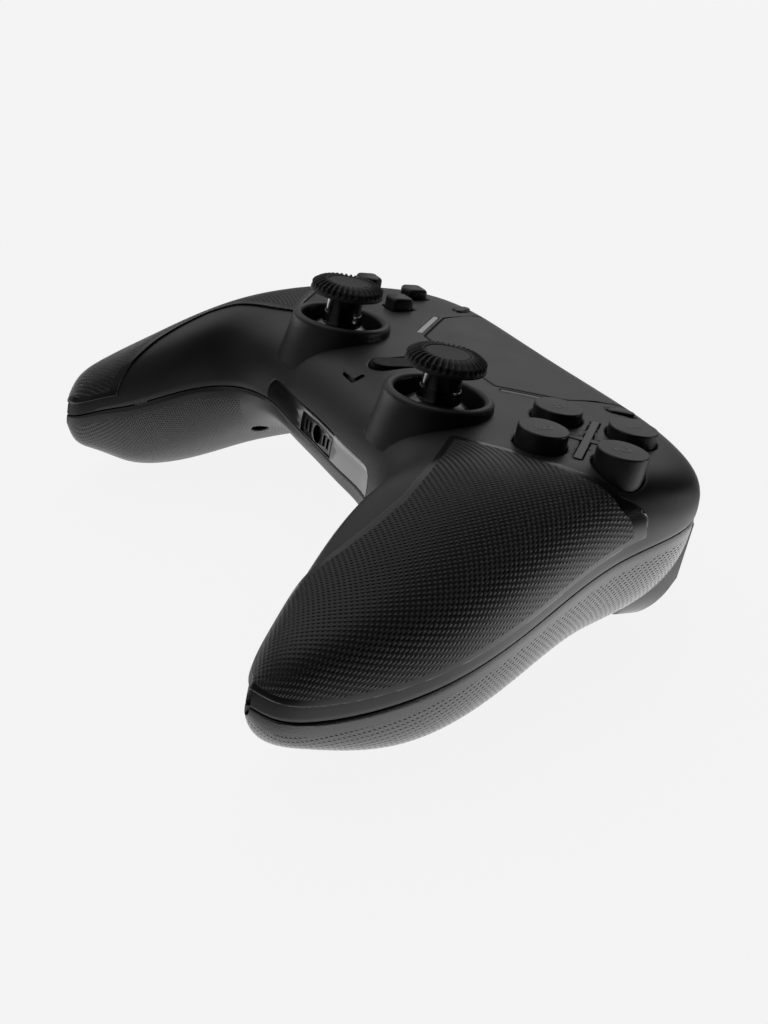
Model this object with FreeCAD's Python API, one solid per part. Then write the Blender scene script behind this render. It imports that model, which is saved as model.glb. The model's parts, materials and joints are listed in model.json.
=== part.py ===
import FreeCAD, Part
import math
import os

os.makedirs("parts", exist_ok=True)
Vector = FreeCAD.Vector

# Driving sizes of the body, in millimetres. The face frame has X to the player's
# right, Y away from the player and Z out of the face. Its origin lies midway
# between the two thumbsticks, on the plane of the face.
half_width = 80.0
front_reach = 54.0
rear_reach = 50.5
grip_drop = 42.0
crown_height = 20.0
belly_depth = 22.0
shell_wall = 2.0
parting_gap = 0.4
lie_angle = 12.5
full_turn = 360.0
quarter_turn = 90.0
half_quarter = 45.0
overrun = 3.0

# Clearances
seam_gap = 0.3
button_gap = 0.35
pin_gap = 0.05
seat_gap = 0.1
press_gap = 0.02
run_gap = 0.5

# Outline of the parting line on the right half, from the middle of the pad out to
# the end of the grip, as shares of half_width, of the front or rear reach and of
# grip_drop
inner_line_shares = (
    (0, -0.268, -0.507),
    (0.19, -0.272, -0.504),
    (0.364, -0.28, -0.504),
    (0.49, -0.35, -0.53),
    (0.572, -0.504, -0.602),
    (0.628, -0.65, -0.707),
    (0.694, -0.78, -0.819),
    (0.76, -0.9, -0.91),
    (0.81, -0.972, -0.975),
    (0.842, -0.998, -0.998),
)
outer_line_shares = (
    (0, 1.0, -0.174),
    (0.316, 1.0, -0.174),
    (0.602, 0.99, -0.2),
    (0.791, 0.883, -0.267),
    (0.861, 0.469, -0.4),
    (0.931, 0.016, -0.648),
    (0.985, -0.404, -0.857),
    (0.962, -0.804, -0.98),
    (0.914, -0.945, -1.0),
    (0.862, -0.994, -1.0),
)
# Height of the three crown poles over the parting line (inner, middle, outer), as
# shares of crown_height, and the same for the belly, as shares of belly_depth
crown_shares = (
    (0.995, 0.715, 0.635),
    (0.99, 0.725, 0.645),
    (0.975, 0.765, 0.66),
    (0.99, 0.855, 0.71),
    (1.01, 0.995, 0.835),
    (0.91, 1.05, 0.9),
    (0.755, 0.875, 0.815),
    (0.475, 0.6, 0.615),
    (0.28, 0.38, 0.39),
    (0.1, 0.16, 0.17),
)
belly_shares = (
    (0.336, 0.914, 0.955),
    (0.332, 0.905, 0.964),
    (0.436, 0.927, 1.0),
    (0.695, 1.055, 0.973),
    (0.841, 1.114, 0.927),
    (0.9, 1.091, 0.891),
    (0.805, 0.895, 0.705),
    (0.514, 0.55, 0.373),
    (0.3, 0.32, 0.22),
    (0.1, 0.11, 0.08),
)
pole_place_shares = (0, -0.01, 0.12, 0.45, 0.86, 1.01, 1)
flank_share = 0.6
last_row = 9
hollow_row = 7

# Thumbsticks
stick_offset = 25.1
pivot_depth = 9.5
cap_radius = 8.9
cap_top = 11.3
cap_thickness = 3.9
cap_dish_radius = 5.6
cap_dish_depth = 0.5
cap_ring_width = 0.8
cap_rib_count = 36
cap_rib_radius = 0.35
post_radius = 4.4
post_neck_radius = 3.9
dome_radius = 11.2
dome_wall = 1.0
dome_skirt_angle = 72.0
rod_radius = 1.6
rod_reach = 5.0
well_radius = 9.9
rim_height = 2.25
rim_lip = 1.15
well_depth = 5.8
tower_foot_radius = 14.4
tower_depth = 12.0

# Stick mechanism
housing_side = 17.0
housing_top = 2.6
housing_depth = 9.4
housing_wall = 1.2
ear_width = 4.0
ear_inner = 7.9
ear_outer = 9.6
ear_top = 2.2
saddle_length = 11.0
saddle_width = 9.6
saddle_height = 4.6
window_length = 7.2
window_width = 5.4
block_side = 4.6
saddle_pin_radius = 1.2
block_pin_radius = 0.9
arch_inner_radius = 7.1
arch_outer_radius = 8.4
arch_width = 6.4
arch_slot_angle = 28.0
sensor_length = 3.2
sensor_height = 6.0
switch_width = 4.0
switch_height = 2.4

# Face buttons and the inlay between them
diamond_x = 48.4
diamond_y = 23.1
diamond_radius = 11.7
button_radius = 5.4
button_top = 3.7
button_edge = 0.5
button_tab = 0.9
button_tab_width = 3.2
flange_thickness = 1.0
flange_top = -3.0
inlay_length = 21.5
inlay_width = 1.8
inlay_proud = 0.35
inlay_thickness = 1.4

# Direction keys, four on one rocking plate
key_offset = 8.8
key_length = 7.0
key_width = 6.0
key_top = 4.4
key_gap = 0.65
key_corner = 1.3
key_plate_radius = 12.4
key_plate_thickness = 1.2
key_plate_top = -3.4
fulcrum_radius = 1.6

# Small buttons
small_button_x = 36.2
small_button_y = 41.0
small_button_length = 6.4
small_button_width = 2.6
small_button_turn = 30.0
small_button_top = 2.6
home_length = 13.0
home_width = 6.4
home_y = 3.0
home_top = -0.3
mute_length = 5.6
mute_width = 2.4
mute_y = -7.8
mute_top = -2.9
mute_tab_top = -6.8
mute_tab_reach = 1.0
home_flange_top = -5.2
small_flange = 0.8

# Touch pad, light strips and sound holes
pad_front = 19.5
pad_front_half = 17.0
pad_corner_x = 28.4
pad_corner_y = 31.0
pad_rear_half = 32.0
pad_rear = 46.5
pad_thickness = 1.5
pad_corner = 1.6
light_width = 1.5
light_gap = 1.3
light_end_share = 0.1
sound_hole_radius = 0.5
sound_hole_pitch = 2.0
sound_hole_columns = 7
sound_hole_rows = 2
sound_y = 13.4
speaker_y = 17.0
speaker_radius = 6.0
speaker_thickness = 3.0

# Front trim, connector panel and what it holds
trim_half = 28.5
trim_top = -15.0
trim_bottom = -23.5
trim_corner = 4.0
trim_thickness = 1.5
panel_half = 8.2
panel_height = 4.6
panel_z = -18.4
panel_face = -14.3
panel_thickness = 1.4
jack_radius = 1.8
jack_length = 12.0
jack_width = 6.0
jack_height = 5.2
jack_wall = 1.0
panel_hole_radius = 2.1
slot_offsets = (3.9, 6.0)
slot_width = 1.0
slot_height = 2.6
contact_thickness = 0.8
contact_margin = 0.3

# Triggers, their pins and mounts
trigger_x = 53.0
trigger_width = 19.0
trigger_axis_y = 37.0
trigger_axis_z = -17.4
trigger_top = -12.8
trigger_wall = 1.6
trigger_rear = 51.5
trigger_foot_y = 39.0
trigger_pin_radius = 1.5
trigger_boss_radius = 2.9
mount_width = 11.0
mount_front = 28.0
bay_front = 27.0
spring_radius = 2.4
spring_wire = 0.3
spring_gap = 0.3
spring_turns = 3
spring_pitch = 0.5
foot_radius = 2.0
trigger_outer_corner = 10.5
trigger_inner_corner = 3.0
trigger_rear_shares = (
    (1.0, 0), (0.93, 0.14), (0.7, 0.36), (0.5, 0.55), (0.32, 0.72), (0.19, 0.87),
)

# Bumpers
bumper_x = 47.0
bumper_length = 22.0
bumper_low = 0.7
bumper_height = 5.8
bumper_depth = 5.0
bumper_proud = 0.4
bumper_z = -4.6
bumper_travel = 0.6
bumper_switch_depth = 2.0

# Grip film
film_thickness = 0.35
film_gap = 0.15
film_edge = 3.6
film_outline_shares = (
    (0.5, -0.094), (0.539, -0.057), (0.609, 0.032), (0.689, 0.141), (0.754, 0.238),
    (0.79, 0.315), (0.835, 0.394), (0.851, 0.503), (0.855, 0.545), (1.12, 0.545),
    (1.12, -1.15), (0.725, -1.15), (0.71, -0.85), (0.7125, -0.74), (0.7175, -0.65),
    (0.711, -0.548), (0.69, -0.426), (0.646, -0.319), (0.5875, -0.219), (0.53, -0.135),
)

# Inside parts
frame_top = -8.0
frame_thickness = 1.6
frame_outline_shares = (
    (0.5, -0.11), (0.62, -0.1), (0.75, 0), (0.765, 0.5), (0.71, 0.76), (0.55, 0.9),
)
frame_post_radius = 2.4
frame_posts = ((12.0, 12.0), (56.0, 4.0))
membrane_thickness = 0.6
membrane_dome_radius = 2.8
membrane_rim = 0.4
membrane_dome_top = -5.5
membrane_dome_rise_share = 0.62
board_thickness = 1.6
board_outline_shares = (
    (0.5, -0.2), (0.56, 0.1), (0.56, 0.48), (0.46, 0.5), (0.46, 0.86),
)
battery_length = 52.0
battery_width = 28.0
battery_height = 6.6
battery_y = 20.0
motor_radius = 7.5
motor_length = 13.0
motor_y = -29.0
motor_x = 66.0
motor_z = -36.0
cradle_thickness = 1.6
cradle_length = 12.0
screw_places = ((41.0, -10.0), (67.0, 4.0))
screw_meets = (-23.5, -28.5)
screw_radius = 1.1
screw_head_radius = 2.1
screw_head_height = 1.5
screw_grip = 2.0
screw_bite = 6.0
boss_wall = 1.3
usb_width = 8.9
usb_height = 3.2
usb_length = 7.4
usb_round_share = 0.4975
usb_wall = 0.5
usb_tongue = 0.7

# Values that follow from the sizes above
pivot_z = -pivot_depth
housing_floor = pivot_z - housing_depth
board_top = housing_floor - seat_gap
frame_floor = frame_top - frame_thickness
button_floor = flange_top - flange_thickness
key_plate_floor = key_plate_top - key_plate_thickness
fulcrum_z = key_plate_floor - fulcrum_radius - pin_gap
up = Vector(0, 0, 1)
ahead = Vector(0, 1, 0)
right = Vector(1, 0, 0)
origin = Vector(0, 0, 0)


def at(x, y, z):
    return Vector(x, y, z)


def block(x, y, z, length, width, height):
    # A box centred on x, y and z
    corner = at(x - length / 2, y - width / 2, z - height / 2)
    return Part.makeBox(length, width, height, corner)


def bar(x, y, low, high, radius):
    # An upright round bar
    return Part.makeCylinder(radius, high - low, at(x, y, low), up)


def prism(points, low, high):
    # Plan points raised into a solid
    corners = [at(x, y, low) for x, y in points]
    face = Part.Face(Part.makePolygon(corners + [corners[0]]))
    return face.extrude(at(0, 0, high - low))


def side_prism(points, start, end):
    # Points given as Y and Z, drawn out along X
    corners = [at(start, y, z) for y, z in points]
    face = Part.Face(Part.makePolygon(corners + [corners[0]]))
    return face.extrude(at(end - start, 0, 0))


def curved_side(curve, corners, start, end):
    # A side view with one smooth curve and straight edges, drawn out along X
    spots = [at(start, y, z) for y, z in curve]
    smooth = Part.BSplineCurve()
    smooth.interpolate(spots)
    ring = [spots[-1]] + [at(start, y, z) for y, z in corners] + [spots[0]]
    edges = [smooth.toShape()]
    edges += [Part.makeLine(one, other) for one, other in zip(ring, ring[1:])]
    return Part.Face(Part.Wire(edges)).extrude(at(end - start, 0, 0))


def revolved(points):
    # Points given as radius and height, turned about the Z axis
    corners = [at(r, 0, z) for r, z in points]
    face = Part.Face(Part.makePolygon(corners + [corners[0]]))
    return face.revolve(origin, up, full_turn)


def rounded(solid, radius, direction):
    # Rounds the edges that run along a direction
    edges = [edge for edge in solid.Edges if runs_along(edge, direction)]
    return solid.makeFillet(radius, edges)


def runs_along(edge, direction):
    if not isinstance(edge.Curve, (Part.Line, Part.LineSegment)):
        return False
    span = edge.Vertexes[1].Point - edge.Vertexes[0].Point
    return span.cross(direction).Length < pin_gap


def capsule(length, width, low, high):
    # A bar with round ends, lying along Y
    half = (length - width) / 2
    body = block(0, 0, (low + high) / 2, width, 2 * half, high - low)
    for end in (-half, half):
        body = body.fuse(bar(0, end, low, high, width / 2))
    return body.removeSplitter()


def moved(shape, x, y, z):
    copy = shape.copy()
    copy.translate(at(x, y, z))
    return copy


def turned(shape, centre, axis, angle):
    copy = shape.copy()
    copy.rotate(centre, axis, angle)
    return copy


def mirrored(shape):
    return shape.mirror(origin, right)


def joined(shapes):
    return shapes[0].multiFuse(shapes[1:])


def line_point(shares):
    x, y, z = shares
    reach = rear_reach if y > 0 else front_reach
    return at(x * half_width, y * reach, z * grip_drop)


def plan_points(shares):
    points = []
    for x, y in shares:
        reach = rear_reach if y > 0 else front_reach
        points.append((x * half_width, y * reach))
    return points


def both_halves(shares):
    # An outline given for the right half, closed round the left half
    points = plan_points(shares)
    return points + [(-x, y) for x, y in reversed(points)]


def line_normal(line, row, outward):
    # Unit direction in plan that points out of the body at one row of a line
    before = line_point(line[max(row - 1, 0)])
    after = line_point(line[min(row + 1, last_row)])
    along = after - before
    along.z = 0
    if row == 0:
        along.y = 0
    along.normalize()
    return at(-along.y, along.x, 0) * outward


def row_ends(row, grow):
    # The two ends of a section's chord, moved outwards by a wall or a skin
    inner = line_point(inner_line_shares[row]) + line_normal(inner_line_shares, row, -1) * grow
    outer = line_point(outer_line_shares[row]) + line_normal(outer_line_shares, row, 1) * grow
    return inner, outer


def dome_wire(row, side, sign, grow, base):
    # One closed section: a curve over the crown or belly and a straight chord
    start, end = row_ends(row, grow)
    shares, height = (crown_shares, crown_height) if sign > 0 else (belly_shares, belly_depth)
    inner, middle, outer = [share * height + grow for share in shares[row]]
    rises = (base, flank_share * inner, inner, middle, outer, flank_share * outer, base)
    poles = []
    for place, rise in zip(pole_place_shares, rises):
        pole = start + (end - start) * place + up * (sign * rise)
        poles.append(at(side * pole.x, pole.y, pole.z))
    curve = Part.BSplineCurve()
    curve.buildFromPolesMultsKnots(poles, [4, 1, 1, 1, 4], [0, 1, 2, 3, 4], False, 3)
    return Part.Wire([curve.toShape(), Part.makeLine(poles[-1], poles[0])])


def slab_wire(row, side, grow, low, high):
    # One upright rectangle along a section's chord
    start, end = row_ends(row, grow)
    corners = [start + up * low, end + up * low, end + up * high, start + up * high]
    corners = [at(side * corner.x, corner.y, corner.z) for corner in corners]
    return Part.makePolygon(corners + [corners[0]])


def lofted(make_wire, rows):
    # Sections from the left grip through the middle to the right grip
    wires = [make_wire(row, -1) for row in range(rows, 0, -1)]
    wires += [make_wire(row, 1) for row in range(0, rows + 1)]
    return Part.makeLoft(wires, True, False)


def dome(sign, grow, base, rows):
    # The whole crown (sign 1) or belly (sign -1)
    return lofted(lambda row, side: dome_wire(row, side, sign, grow, base), rows)


def slab(grow, low, high, rows):
    # All that lies between two heights over the parting line
    return lofted(lambda row, side: slab_wire(row, side, grow, low, high), rows)


def tower():
    # The raised ring round a thumbstick, with a rounded lip and a flaring flank
    lip_middle = well_radius + rim_lip
    lip_low = rim_height - rim_lip
    foot = rim_height - tower_depth
    lip_rise = rim_lip * math.sin(math.radians(half_quarter))
    lip = Part.Arc(at(well_radius, 0, lip_low),
                   at(lip_middle - lip_rise, 0, lip_low + lip_rise),
                   at(lip_middle, 0, rim_height)).toShape()
    lip_out = Part.Arc(at(lip_middle, 0, rim_height),
                       at(lip_middle + lip_rise, 0, lip_low + lip_rise),
                       at(lip_middle + rim_lip, 0, lip_low)).toShape()
    flank = Part.BSplineCurve()
    flank.buildFromPolesMultsKnots(
        [at(lip_middle + rim_lip, 0, lip_low),
         at(lip_middle + rim_lip, 0, lip_low - rim_height),
         at(tower_foot_radius, 0, foot)], [3, 3], [0, 1], False, 2)
    wire = Part.Wire([
        Part.makeLine(at(0, 0, lip_low), at(well_radius, 0, lip_low)), lip, lip_out,
        flank.toShape(),
        Part.makeLine(at(tower_foot_radius, 0, foot), at(0, 0, foot)),
        Part.makeLine(at(0, 0, foot), at(0, 0, lip_low)),
    ])
    return moved(Part.Face(wire).revolve(origin, up, full_turn), stick_offset, 0, 0)


def tower_hollow():
    # Room for the stick's domed skirt under the well
    high = rim_height - well_depth
    low = rim_height - tower_depth - overrun
    room = dome_radius + run_gap
    return moved(revolved([(0, high), (room, high), (tower_foot_radius - shell_wall, low), (0, low)]),
                 stick_offset, 0, 0)


def button_places():
    # The four face buttons: rear, right, front, left
    places = []
    for step in range(4):
        angle = math.radians(quarter_turn - quarter_turn * step)
        places.append((diamond_x + diamond_radius * math.cos(angle),
                       diamond_y + diamond_radius * math.sin(angle)))
    return places


def face_button(place):
    x, y = place
    body = bar(x, y, flange_top, button_top, button_radius)
    body = body.makeFillet(button_edge, [body.Edges[0]])
    tabs = bar(x, y, button_floor, flange_top, button_radius + button_tab)
    tabs = tabs.common(block(x, y, (button_floor + flange_top) / 2, button_tab_width,
                             4 * button_radius, flange_thickness))
    stem = bar(x, y, button_floor, flange_top, button_radius)
    return joined([body, tabs, stem]).removeSplitter()


def key_outline(low, high, gap):
    # One direction key with its point towards the middle, on the rear side
    half = key_width / 2 + gap
    outer = key_offset + key_length / 2 + gap
    tip = key_offset - key_length / 2 - gap
    shoulder = tip + half / 2
    body = prism([(-half, shoulder), (0, tip), (half, shoulder), (half, outer), (-half, outer)],
                 low, high)
    return rounded(body, key_corner, up)


def direction_keys():
    # Four keys on one round plate
    plate = bar(0, 0, key_plate_floor, key_plate_top, key_plate_radius)
    keys = []
    for step in range(4):
        key = key_outline(key_plate_top, key_top, 0)
        top_edges = [edge for edge in key.Edges if edge.BoundBox.ZMin > key_top - pin_gap]
        key = key.makeFillet(button_edge, top_edges)
        keys.append(turned(key, origin, up, quarter_turn * step))
    return moved(joined([plate] + keys), -diamond_x, diamond_y, 0)


def pad_outline(gap):
    # Touch pad seen from above, grown by a gap
    return [
        (-pad_front_half - gap / 2, pad_front - gap), (pad_front_half + gap / 2, pad_front - gap),
        (pad_corner_x + gap, pad_corner_y - gap / 2), (pad_rear_half + gap, pad_rear + gap),
        (-pad_rear_half - gap, pad_rear + gap), (-pad_corner_x - gap, pad_corner_y - gap / 2),
    ]


def light_strip(gap):
    # A narrow window beside the slanted edge of the touch pad, right side
    start = at(pad_front_half, pad_front, 0)
    end = at(pad_corner_x, pad_corner_y, 0)
    along = end - start
    length = along.Length
    along.normalize()
    out = at(along.y, -along.x, 0)
    first = start + along * (length * light_end_share - gap) + out * (light_gap - gap)
    last = end + along * gap + out * (light_gap - gap)
    wide = out * (light_width + 2 * gap)
    corners = [first, last, last + wide, first + wide]
    solid = prism([(corner.x, corner.y) for corner in corners], -tower_depth, tower_depth)
    return rounded(solid, light_width / 3, up)


def inlay_cross(gap):
    # Two bars that cross between the face buttons
    high = button_top
    low = -tower_depth
    bars = []
    for angle in (half_quarter, -half_quarter):
        one = block(0, 0, (low + high) / 2, inlay_width + 2 * gap, inlay_length + 2 * gap, high - low)
        bars.append(turned(one, origin, up, angle))
    return moved(joined(bars).removeSplitter(), diamond_x, diamond_y, 0)


def front_window(half, low, high, corner, gap):
    # A window through the front wall with rounded upper corners
    near = -front_reach
    deep = front_reach / 2
    body = Part.makeBox(2 * (half + gap), deep + abs(near) - front_reach / 2, high - low + 2 * gap,
                        at(-half - gap, near, low - gap))
    edges = [edge for edge in body.Edges
             if runs_along(edge, ahead) and edge.BoundBox.ZMin > (low + high) / 2]
    return body.makeFillet(corner, edges)


def small_button_tool(top, low, gap):
    # A capsule button beside the touch pad, leaning outwards, right side
    body = capsule(small_button_length + 2 * gap, small_button_width + 2 * gap, low, top)
    body = turned(body, origin, up, -small_button_turn)
    return moved(body, small_button_x, small_button_y, 0)


def home_tool(top, low, gap):
    return moved(capsule(home_length + 2 * gap, home_width + 2 * gap, low, top), 0, home_y, 0)


def mute_tool(top, low, gap):
    body = block(0, mute_y, (top + low) / 2, mute_length + 2 * gap, mute_width + 2 * gap, top - low)
    return rounded(body, mute_width / 3, up)


def mute_button():
    # A short bar with a tab at its rear that stops it under the shell
    low = mute_tab_top - flange_thickness
    rear = mute_y + mute_width / 2
    tab = block(0, rear - mute_tab_reach / 2, (low + mute_tab_top) / 2,
                mute_length + 2 * small_flange, mute_tab_reach, flange_thickness)
    return mute_tool(mute_top, low, 0).fuse(tab).removeSplitter()


def flanged(tool, top, collar_top, collar_thickness, collar):
    # A button with a collar that stops it under the shell
    return tool(top, collar_top, 0).fuse(tool(collar_top, collar_top - collar_thickness, collar))


def stick_cap():
    # Rubber cap with a shallow dish, a raised ring and ribs round the rim
    low = cap_top - cap_thickness
    edge = cap_radius - cap_rib_radius
    waist = low + cap_thickness / 3
    high = cap_top - cap_thickness / 4
    body = revolved([
        (0, low + cap_thickness / 3), (post_neck_radius + seat_gap, low + cap_thickness / 3),
        (post_neck_radius + seat_gap, low), (edge - cap_thickness / 3, low), (edge, waist), (edge, high),
        (edge - cap_thickness / 3, cap_top), (cap_dish_radius + cap_ring_width, cap_top),
        (cap_dish_radius, cap_top - cap_dish_depth / 2), (0, cap_top - cap_dish_depth),
    ])
    ribs = []
    for step in range(cap_rib_count):
        rib = bar(edge, 0, waist, high, cap_rib_radius)
        ribs.append(turned(rib, origin, up, full_turn / cap_rib_count * step))
    return moved(joined([body] + ribs), stick_offset, 0, 0)


def stick_post():
    # Post with its domed skirt and the rod below
    skirt = Part.makeSphere(dome_radius)
    skirt = skirt.cut(Part.makeSphere(dome_radius - dome_wall))
    skirt_low = dome_radius * math.cos(math.radians(dome_skirt_angle))
    keep = bar(0, 0, skirt_low, dome_radius + overrun, dome_radius + overrun)
    skirt = skirt.common(keep)
    post_low = math.sqrt((dome_radius - dome_wall / 2) ** 2 - post_radius ** 2)
    low = cap_top - cap_thickness - pivot_z
    post = bar(0, 0, post_low, low - overrun / 2, post_radius)
    neck = bar(0, 0, low - overrun / 2, low + cap_thickness / 3 - seat_gap, post_neck_radius)
    rod = bar(0, 0, -rod_reach, dome_radius - dome_wall / 2, rod_radius)
    solid = joined([skirt, post, neck, rod]).removeSplitter()
    return moved(solid, stick_offset, 0, pivot_z)


def stick_block():
    # Pivot block that the rod slides through, with a pin on each side
    body = block(0, 0, 0, block_side, window_width - 2 * seat_gap, block_side)
    pin = Part.makeCylinder(block_pin_radius, saddle_width, at(0, -saddle_width / 2, 0), ahead)
    bore = bar(0, 0, -block_side, block_side, rod_radius + pin_gap)
    return moved(body.fuse(pin).cut(bore), stick_offset, 0, pivot_z)


def stick_saddle():
    # Frame that tips fore and aft in the housing and carries the pivot block
    body = block(0, 0, 0, saddle_length, saddle_width, saddle_height)
    body = body.cut(block(0, 0, 0, window_length, window_width, saddle_height + overrun))
    hole = Part.makeCylinder(block_pin_radius + pin_gap, saddle_width + overrun,
                             at(0, -(saddle_width + overrun) / 2, 0), ahead)
    pins = []
    for side in (-1, 1):
        pins.append(Part.makeCylinder(saddle_pin_radius, ear_outer - saddle_length / 2,
                                      at(side * saddle_length / 2, 0, 0), right * side))
    return moved(joined([body.cut(hole)] + pins), stick_offset, 0, pivot_z)


def stick_arch():
    # Bowed strap over the saddle that tips left and right with the rod
    ring = Part.makeCylinder(arch_outer_radius, arch_width, at(-arch_width / 2, 0, 0), right)
    ring = ring.cut(Part.makeCylinder(arch_inner_radius, arch_width, at(-arch_width / 2, 0, 0), right))
    ring = ring.common(block(0, 0, arch_outer_radius, arch_width, 2 * arch_outer_radius,
                             2 * arch_outer_radius))
    reach = arch_outer_radius * math.sin(math.radians(arch_slot_angle))
    slot = block(0, 0, arch_outer_radius, 2 * (rod_radius + 2 * seat_gap), 2 * reach,
                 arch_outer_radius)
    ring = ring.cut(slot)
    legs = []
    for side in (-1, 1):
        start = at(0, side * arch_inner_radius, 0)
        legs.append(Part.makeCylinder(housing_top - 2 * seat_gap, arch_outer_radius - arch_inner_radius,
                                      start, ahead * side))
        legs.append(Part.makeCylinder(block_pin_radius, ear_outer - arch_inner_radius, start,
                                      ahead * side))
    return moved(joined([ring] + legs), stick_offset, 0, pivot_z)


def stick_housing():
    # Open box under the saddle with four ears for the pins
    height = housing_depth - housing_top
    middle = -(housing_depth + housing_top) / 2
    body = block(0, 0, middle, housing_side, housing_side, height)
    inside = housing_side - 2 * housing_wall
    body = body.cut(block(0, 0, middle + housing_wall, inside, inside, height))
    ears = []
    for step in range(4):
        inner, outer = (ear_inner, ear_outer)
        hole_radius = saddle_pin_radius
        if step % 2:
            inner = arch_outer_radius + 2 * seat_gap
            hole_radius = block_pin_radius
        low = -housing_top - housing_wall
        ear = block((inner + outer) / 2, 0, (low + ear_top) / 2, outer - inner, ear_width, ear_top - low)
        step_in = block((housing_side / 2 - housing_wall + outer) / 2, 0, low + housing_wall / 2,
                        outer - housing_side / 2 + housing_wall, ear_width, housing_wall)
        hole = Part.makeCylinder(hole_radius + pin_gap, outer, at(inner / 2, 0, 0), right)
        ears.append(turned(ear.fuse(step_in).cut(hole), origin, up, quarter_turn * step))
    return moved(joined([body] + ears), stick_offset, 0, pivot_z)


def stick_sensors():
    # Two turn sensors on the housing's sides and the click switch on its floor
    half = housing_side / 2 + seat_gap
    low = -housing_depth + seat_gap
    high = -housing_top - 2 * housing_wall
    side_one = block(half + sensor_length / 2, 0, (low + high) / 2, sensor_length, sensor_height,
                     high - low)
    side_two = turned(side_one, origin, up, quarter_turn)
    switch = block(0, 0, -housing_depth + housing_wall + switch_height / 2, switch_width, switch_width,
                   switch_height)
    return moved(Part.makeCompound([side_one, side_two, switch]), stick_offset, 0, pivot_z)


def trigger_outline(foot_z):
    # Rear of a trigger in side view, as Y and Z, from the top down to its foot
    drop = foot_z - trigger_top
    back = trigger_rear - trigger_foot_y
    points = [(trigger_foot_y + back * y, trigger_top + drop * z) for y, z in trigger_rear_shares]
    return points + [(trigger_foot_y + foot_radius, foot_z)]


def trigger_envelope(foot_z):
    # Block with the rounded lower corners that a trigger shows from behind
    half = trigger_width / 2
    body = block(trigger_x, trigger_axis_y, (trigger_top + foot_z) / 2, trigger_width, 2 * rear_reach,
                 trigger_top - foot_z)
    lower = [edge for edge in body.Edges
             if runs_along(edge, ahead) and edge.BoundBox.ZMax < (trigger_top + foot_z) / 2]
    outer = [edge for edge in lower if edge.BoundBox.XMin > trigger_x + half / 2]
    body = body.makeFillet(trigger_outer_corner, outer)
    inner = [edge for edge in body.Edges
             if runs_along(edge, ahead) and edge.BoundBox.XMax < trigger_x - half / 2
             and edge.BoundBox.ZMax < (trigger_top + foot_z) / 2]
    return body.makeFillet(trigger_inner_corner, inner)


def trigger(foot_z):
    # Curved trigger, hollow at the front, with a bore at its upper front
    half = trigger_width / 2
    front = trigger_axis_y - trigger_boss_radius
    rear = trigger_outline(foot_z)
    lower = (front - trigger_boss_radius, (trigger_axis_z + foot_z) / 2)
    corners = [(trigger_foot_y - foot_radius, foot_z), lower, (front, trigger_axis_z),
               (front, trigger_top)]
    body = curved_side(rear, corners, trigger_x - half, trigger_x + half)
    body = body.common(trigger_envelope(foot_z))
    inside = [(y - trigger_wall, z) for y, z in rear[:-2]]
    inside[0] = (inside[0][0], trigger_top - trigger_wall)
    floor = foot_z + 3 * foot_radius
    corners = [(trigger_foot_y, floor), (mount_front, floor), (mount_front, trigger_top - trigger_wall)]
    hollow = curved_side(inside, corners, trigger_x - half + trigger_wall,
                         trigger_x + half - trigger_wall)
    boss = Part.makeCylinder(trigger_boss_radius, trigger_width,
                             at(trigger_x - half, trigger_axis_y, trigger_axis_z), right)
    boss = boss.cut(block(trigger_x, trigger_axis_y, trigger_axis_z,
                          trigger_width - 2 * trigger_wall, 4 * trigger_boss_radius,
                          4 * trigger_boss_radius))
    hole = Part.makeCylinder(trigger_pin_radius + pin_gap, trigger_width + overrun,
                             at(trigger_x - half - overrun / 2, trigger_axis_y, trigger_axis_z), right)
    outside = slab(bumper_proud, -3 * grip_drop, grip_drop, last_row)
    return body.cut(hollow).fuse(boss).cut(hole).common(outside)


def trigger_bay(foot_z):
    # Room for a trigger over its whole pull, cut out of the bottom shell
    deep = foot_z - 2 * overrun
    points = [(trigger_axis_y - trigger_boss_radius - overrun, trigger_top + seam_gap),
              (trigger_rear + overrun, trigger_top + seam_gap), (trigger_rear + overrun, deep),
              (bay_front, deep), (bay_front, (trigger_axis_z + foot_z) / 2)]
    half = trigger_width / 2 + run_gap
    return side_prism(points, trigger_x - half, trigger_x + half)


def trigger_pin():
    length = trigger_width - seam_gap
    return Part.makeCylinder(trigger_pin_radius, length,
                             at(trigger_x - length / 2, trigger_axis_y, trigger_axis_z), right)


def trigger_mount():
    # Arm that reaches into the trigger and holds its pin
    start = trigger_x - mount_width / 2
    radius = trigger_boss_radius - pin_gap
    arm = Part.makeCylinder(radius, mount_width, at(start, trigger_axis_y, trigger_axis_z), right)
    low = trigger_axis_z - radius
    high = trigger_axis_z + radius
    root_height = frame_floor - seat_gap - low
    arm = arm.fuse(block(trigger_x, (mount_front + trigger_axis_y) / 2, (low + high) / 2, mount_width,
                         trigger_axis_y - mount_front, high - low))
    arm = arm.fuse(block(trigger_x, mount_front + radius / 2, low + root_height / 2, mount_width, radius,
                         root_height))
    hole = Part.makeCylinder(trigger_pin_radius + press_gap, mount_width + overrun,
                             at(start - overrun / 2, trigger_axis_y, trigger_axis_z), right)
    return arm.cut(hole).removeSplitter()


def trigger_spring():
    # Tightly wound return spring on the pin, beside the mount
    coils = []
    start = trigger_x + mount_width / 2 + spring_gap + spring_wire
    for turn in range(spring_turns):
        place = at(start + turn * spring_pitch, trigger_axis_y, trigger_axis_z)
        coils.append(Part.makeTorus(spring_radius, spring_wire, place, right))
    return joined(coils)


def bumper_block(gap, depth, low, high):
    # Bumper between two heights over the parting line, trimmed to the outline
    near = rear_reach - depth
    far = rear_reach + overrun
    body = block(bumper_x, (near + far) / 2, 0, bumper_length + 2 * gap, far - near, 2 * tower_depth)
    return body.common(slab(bumper_proud, low, high, last_row))


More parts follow.
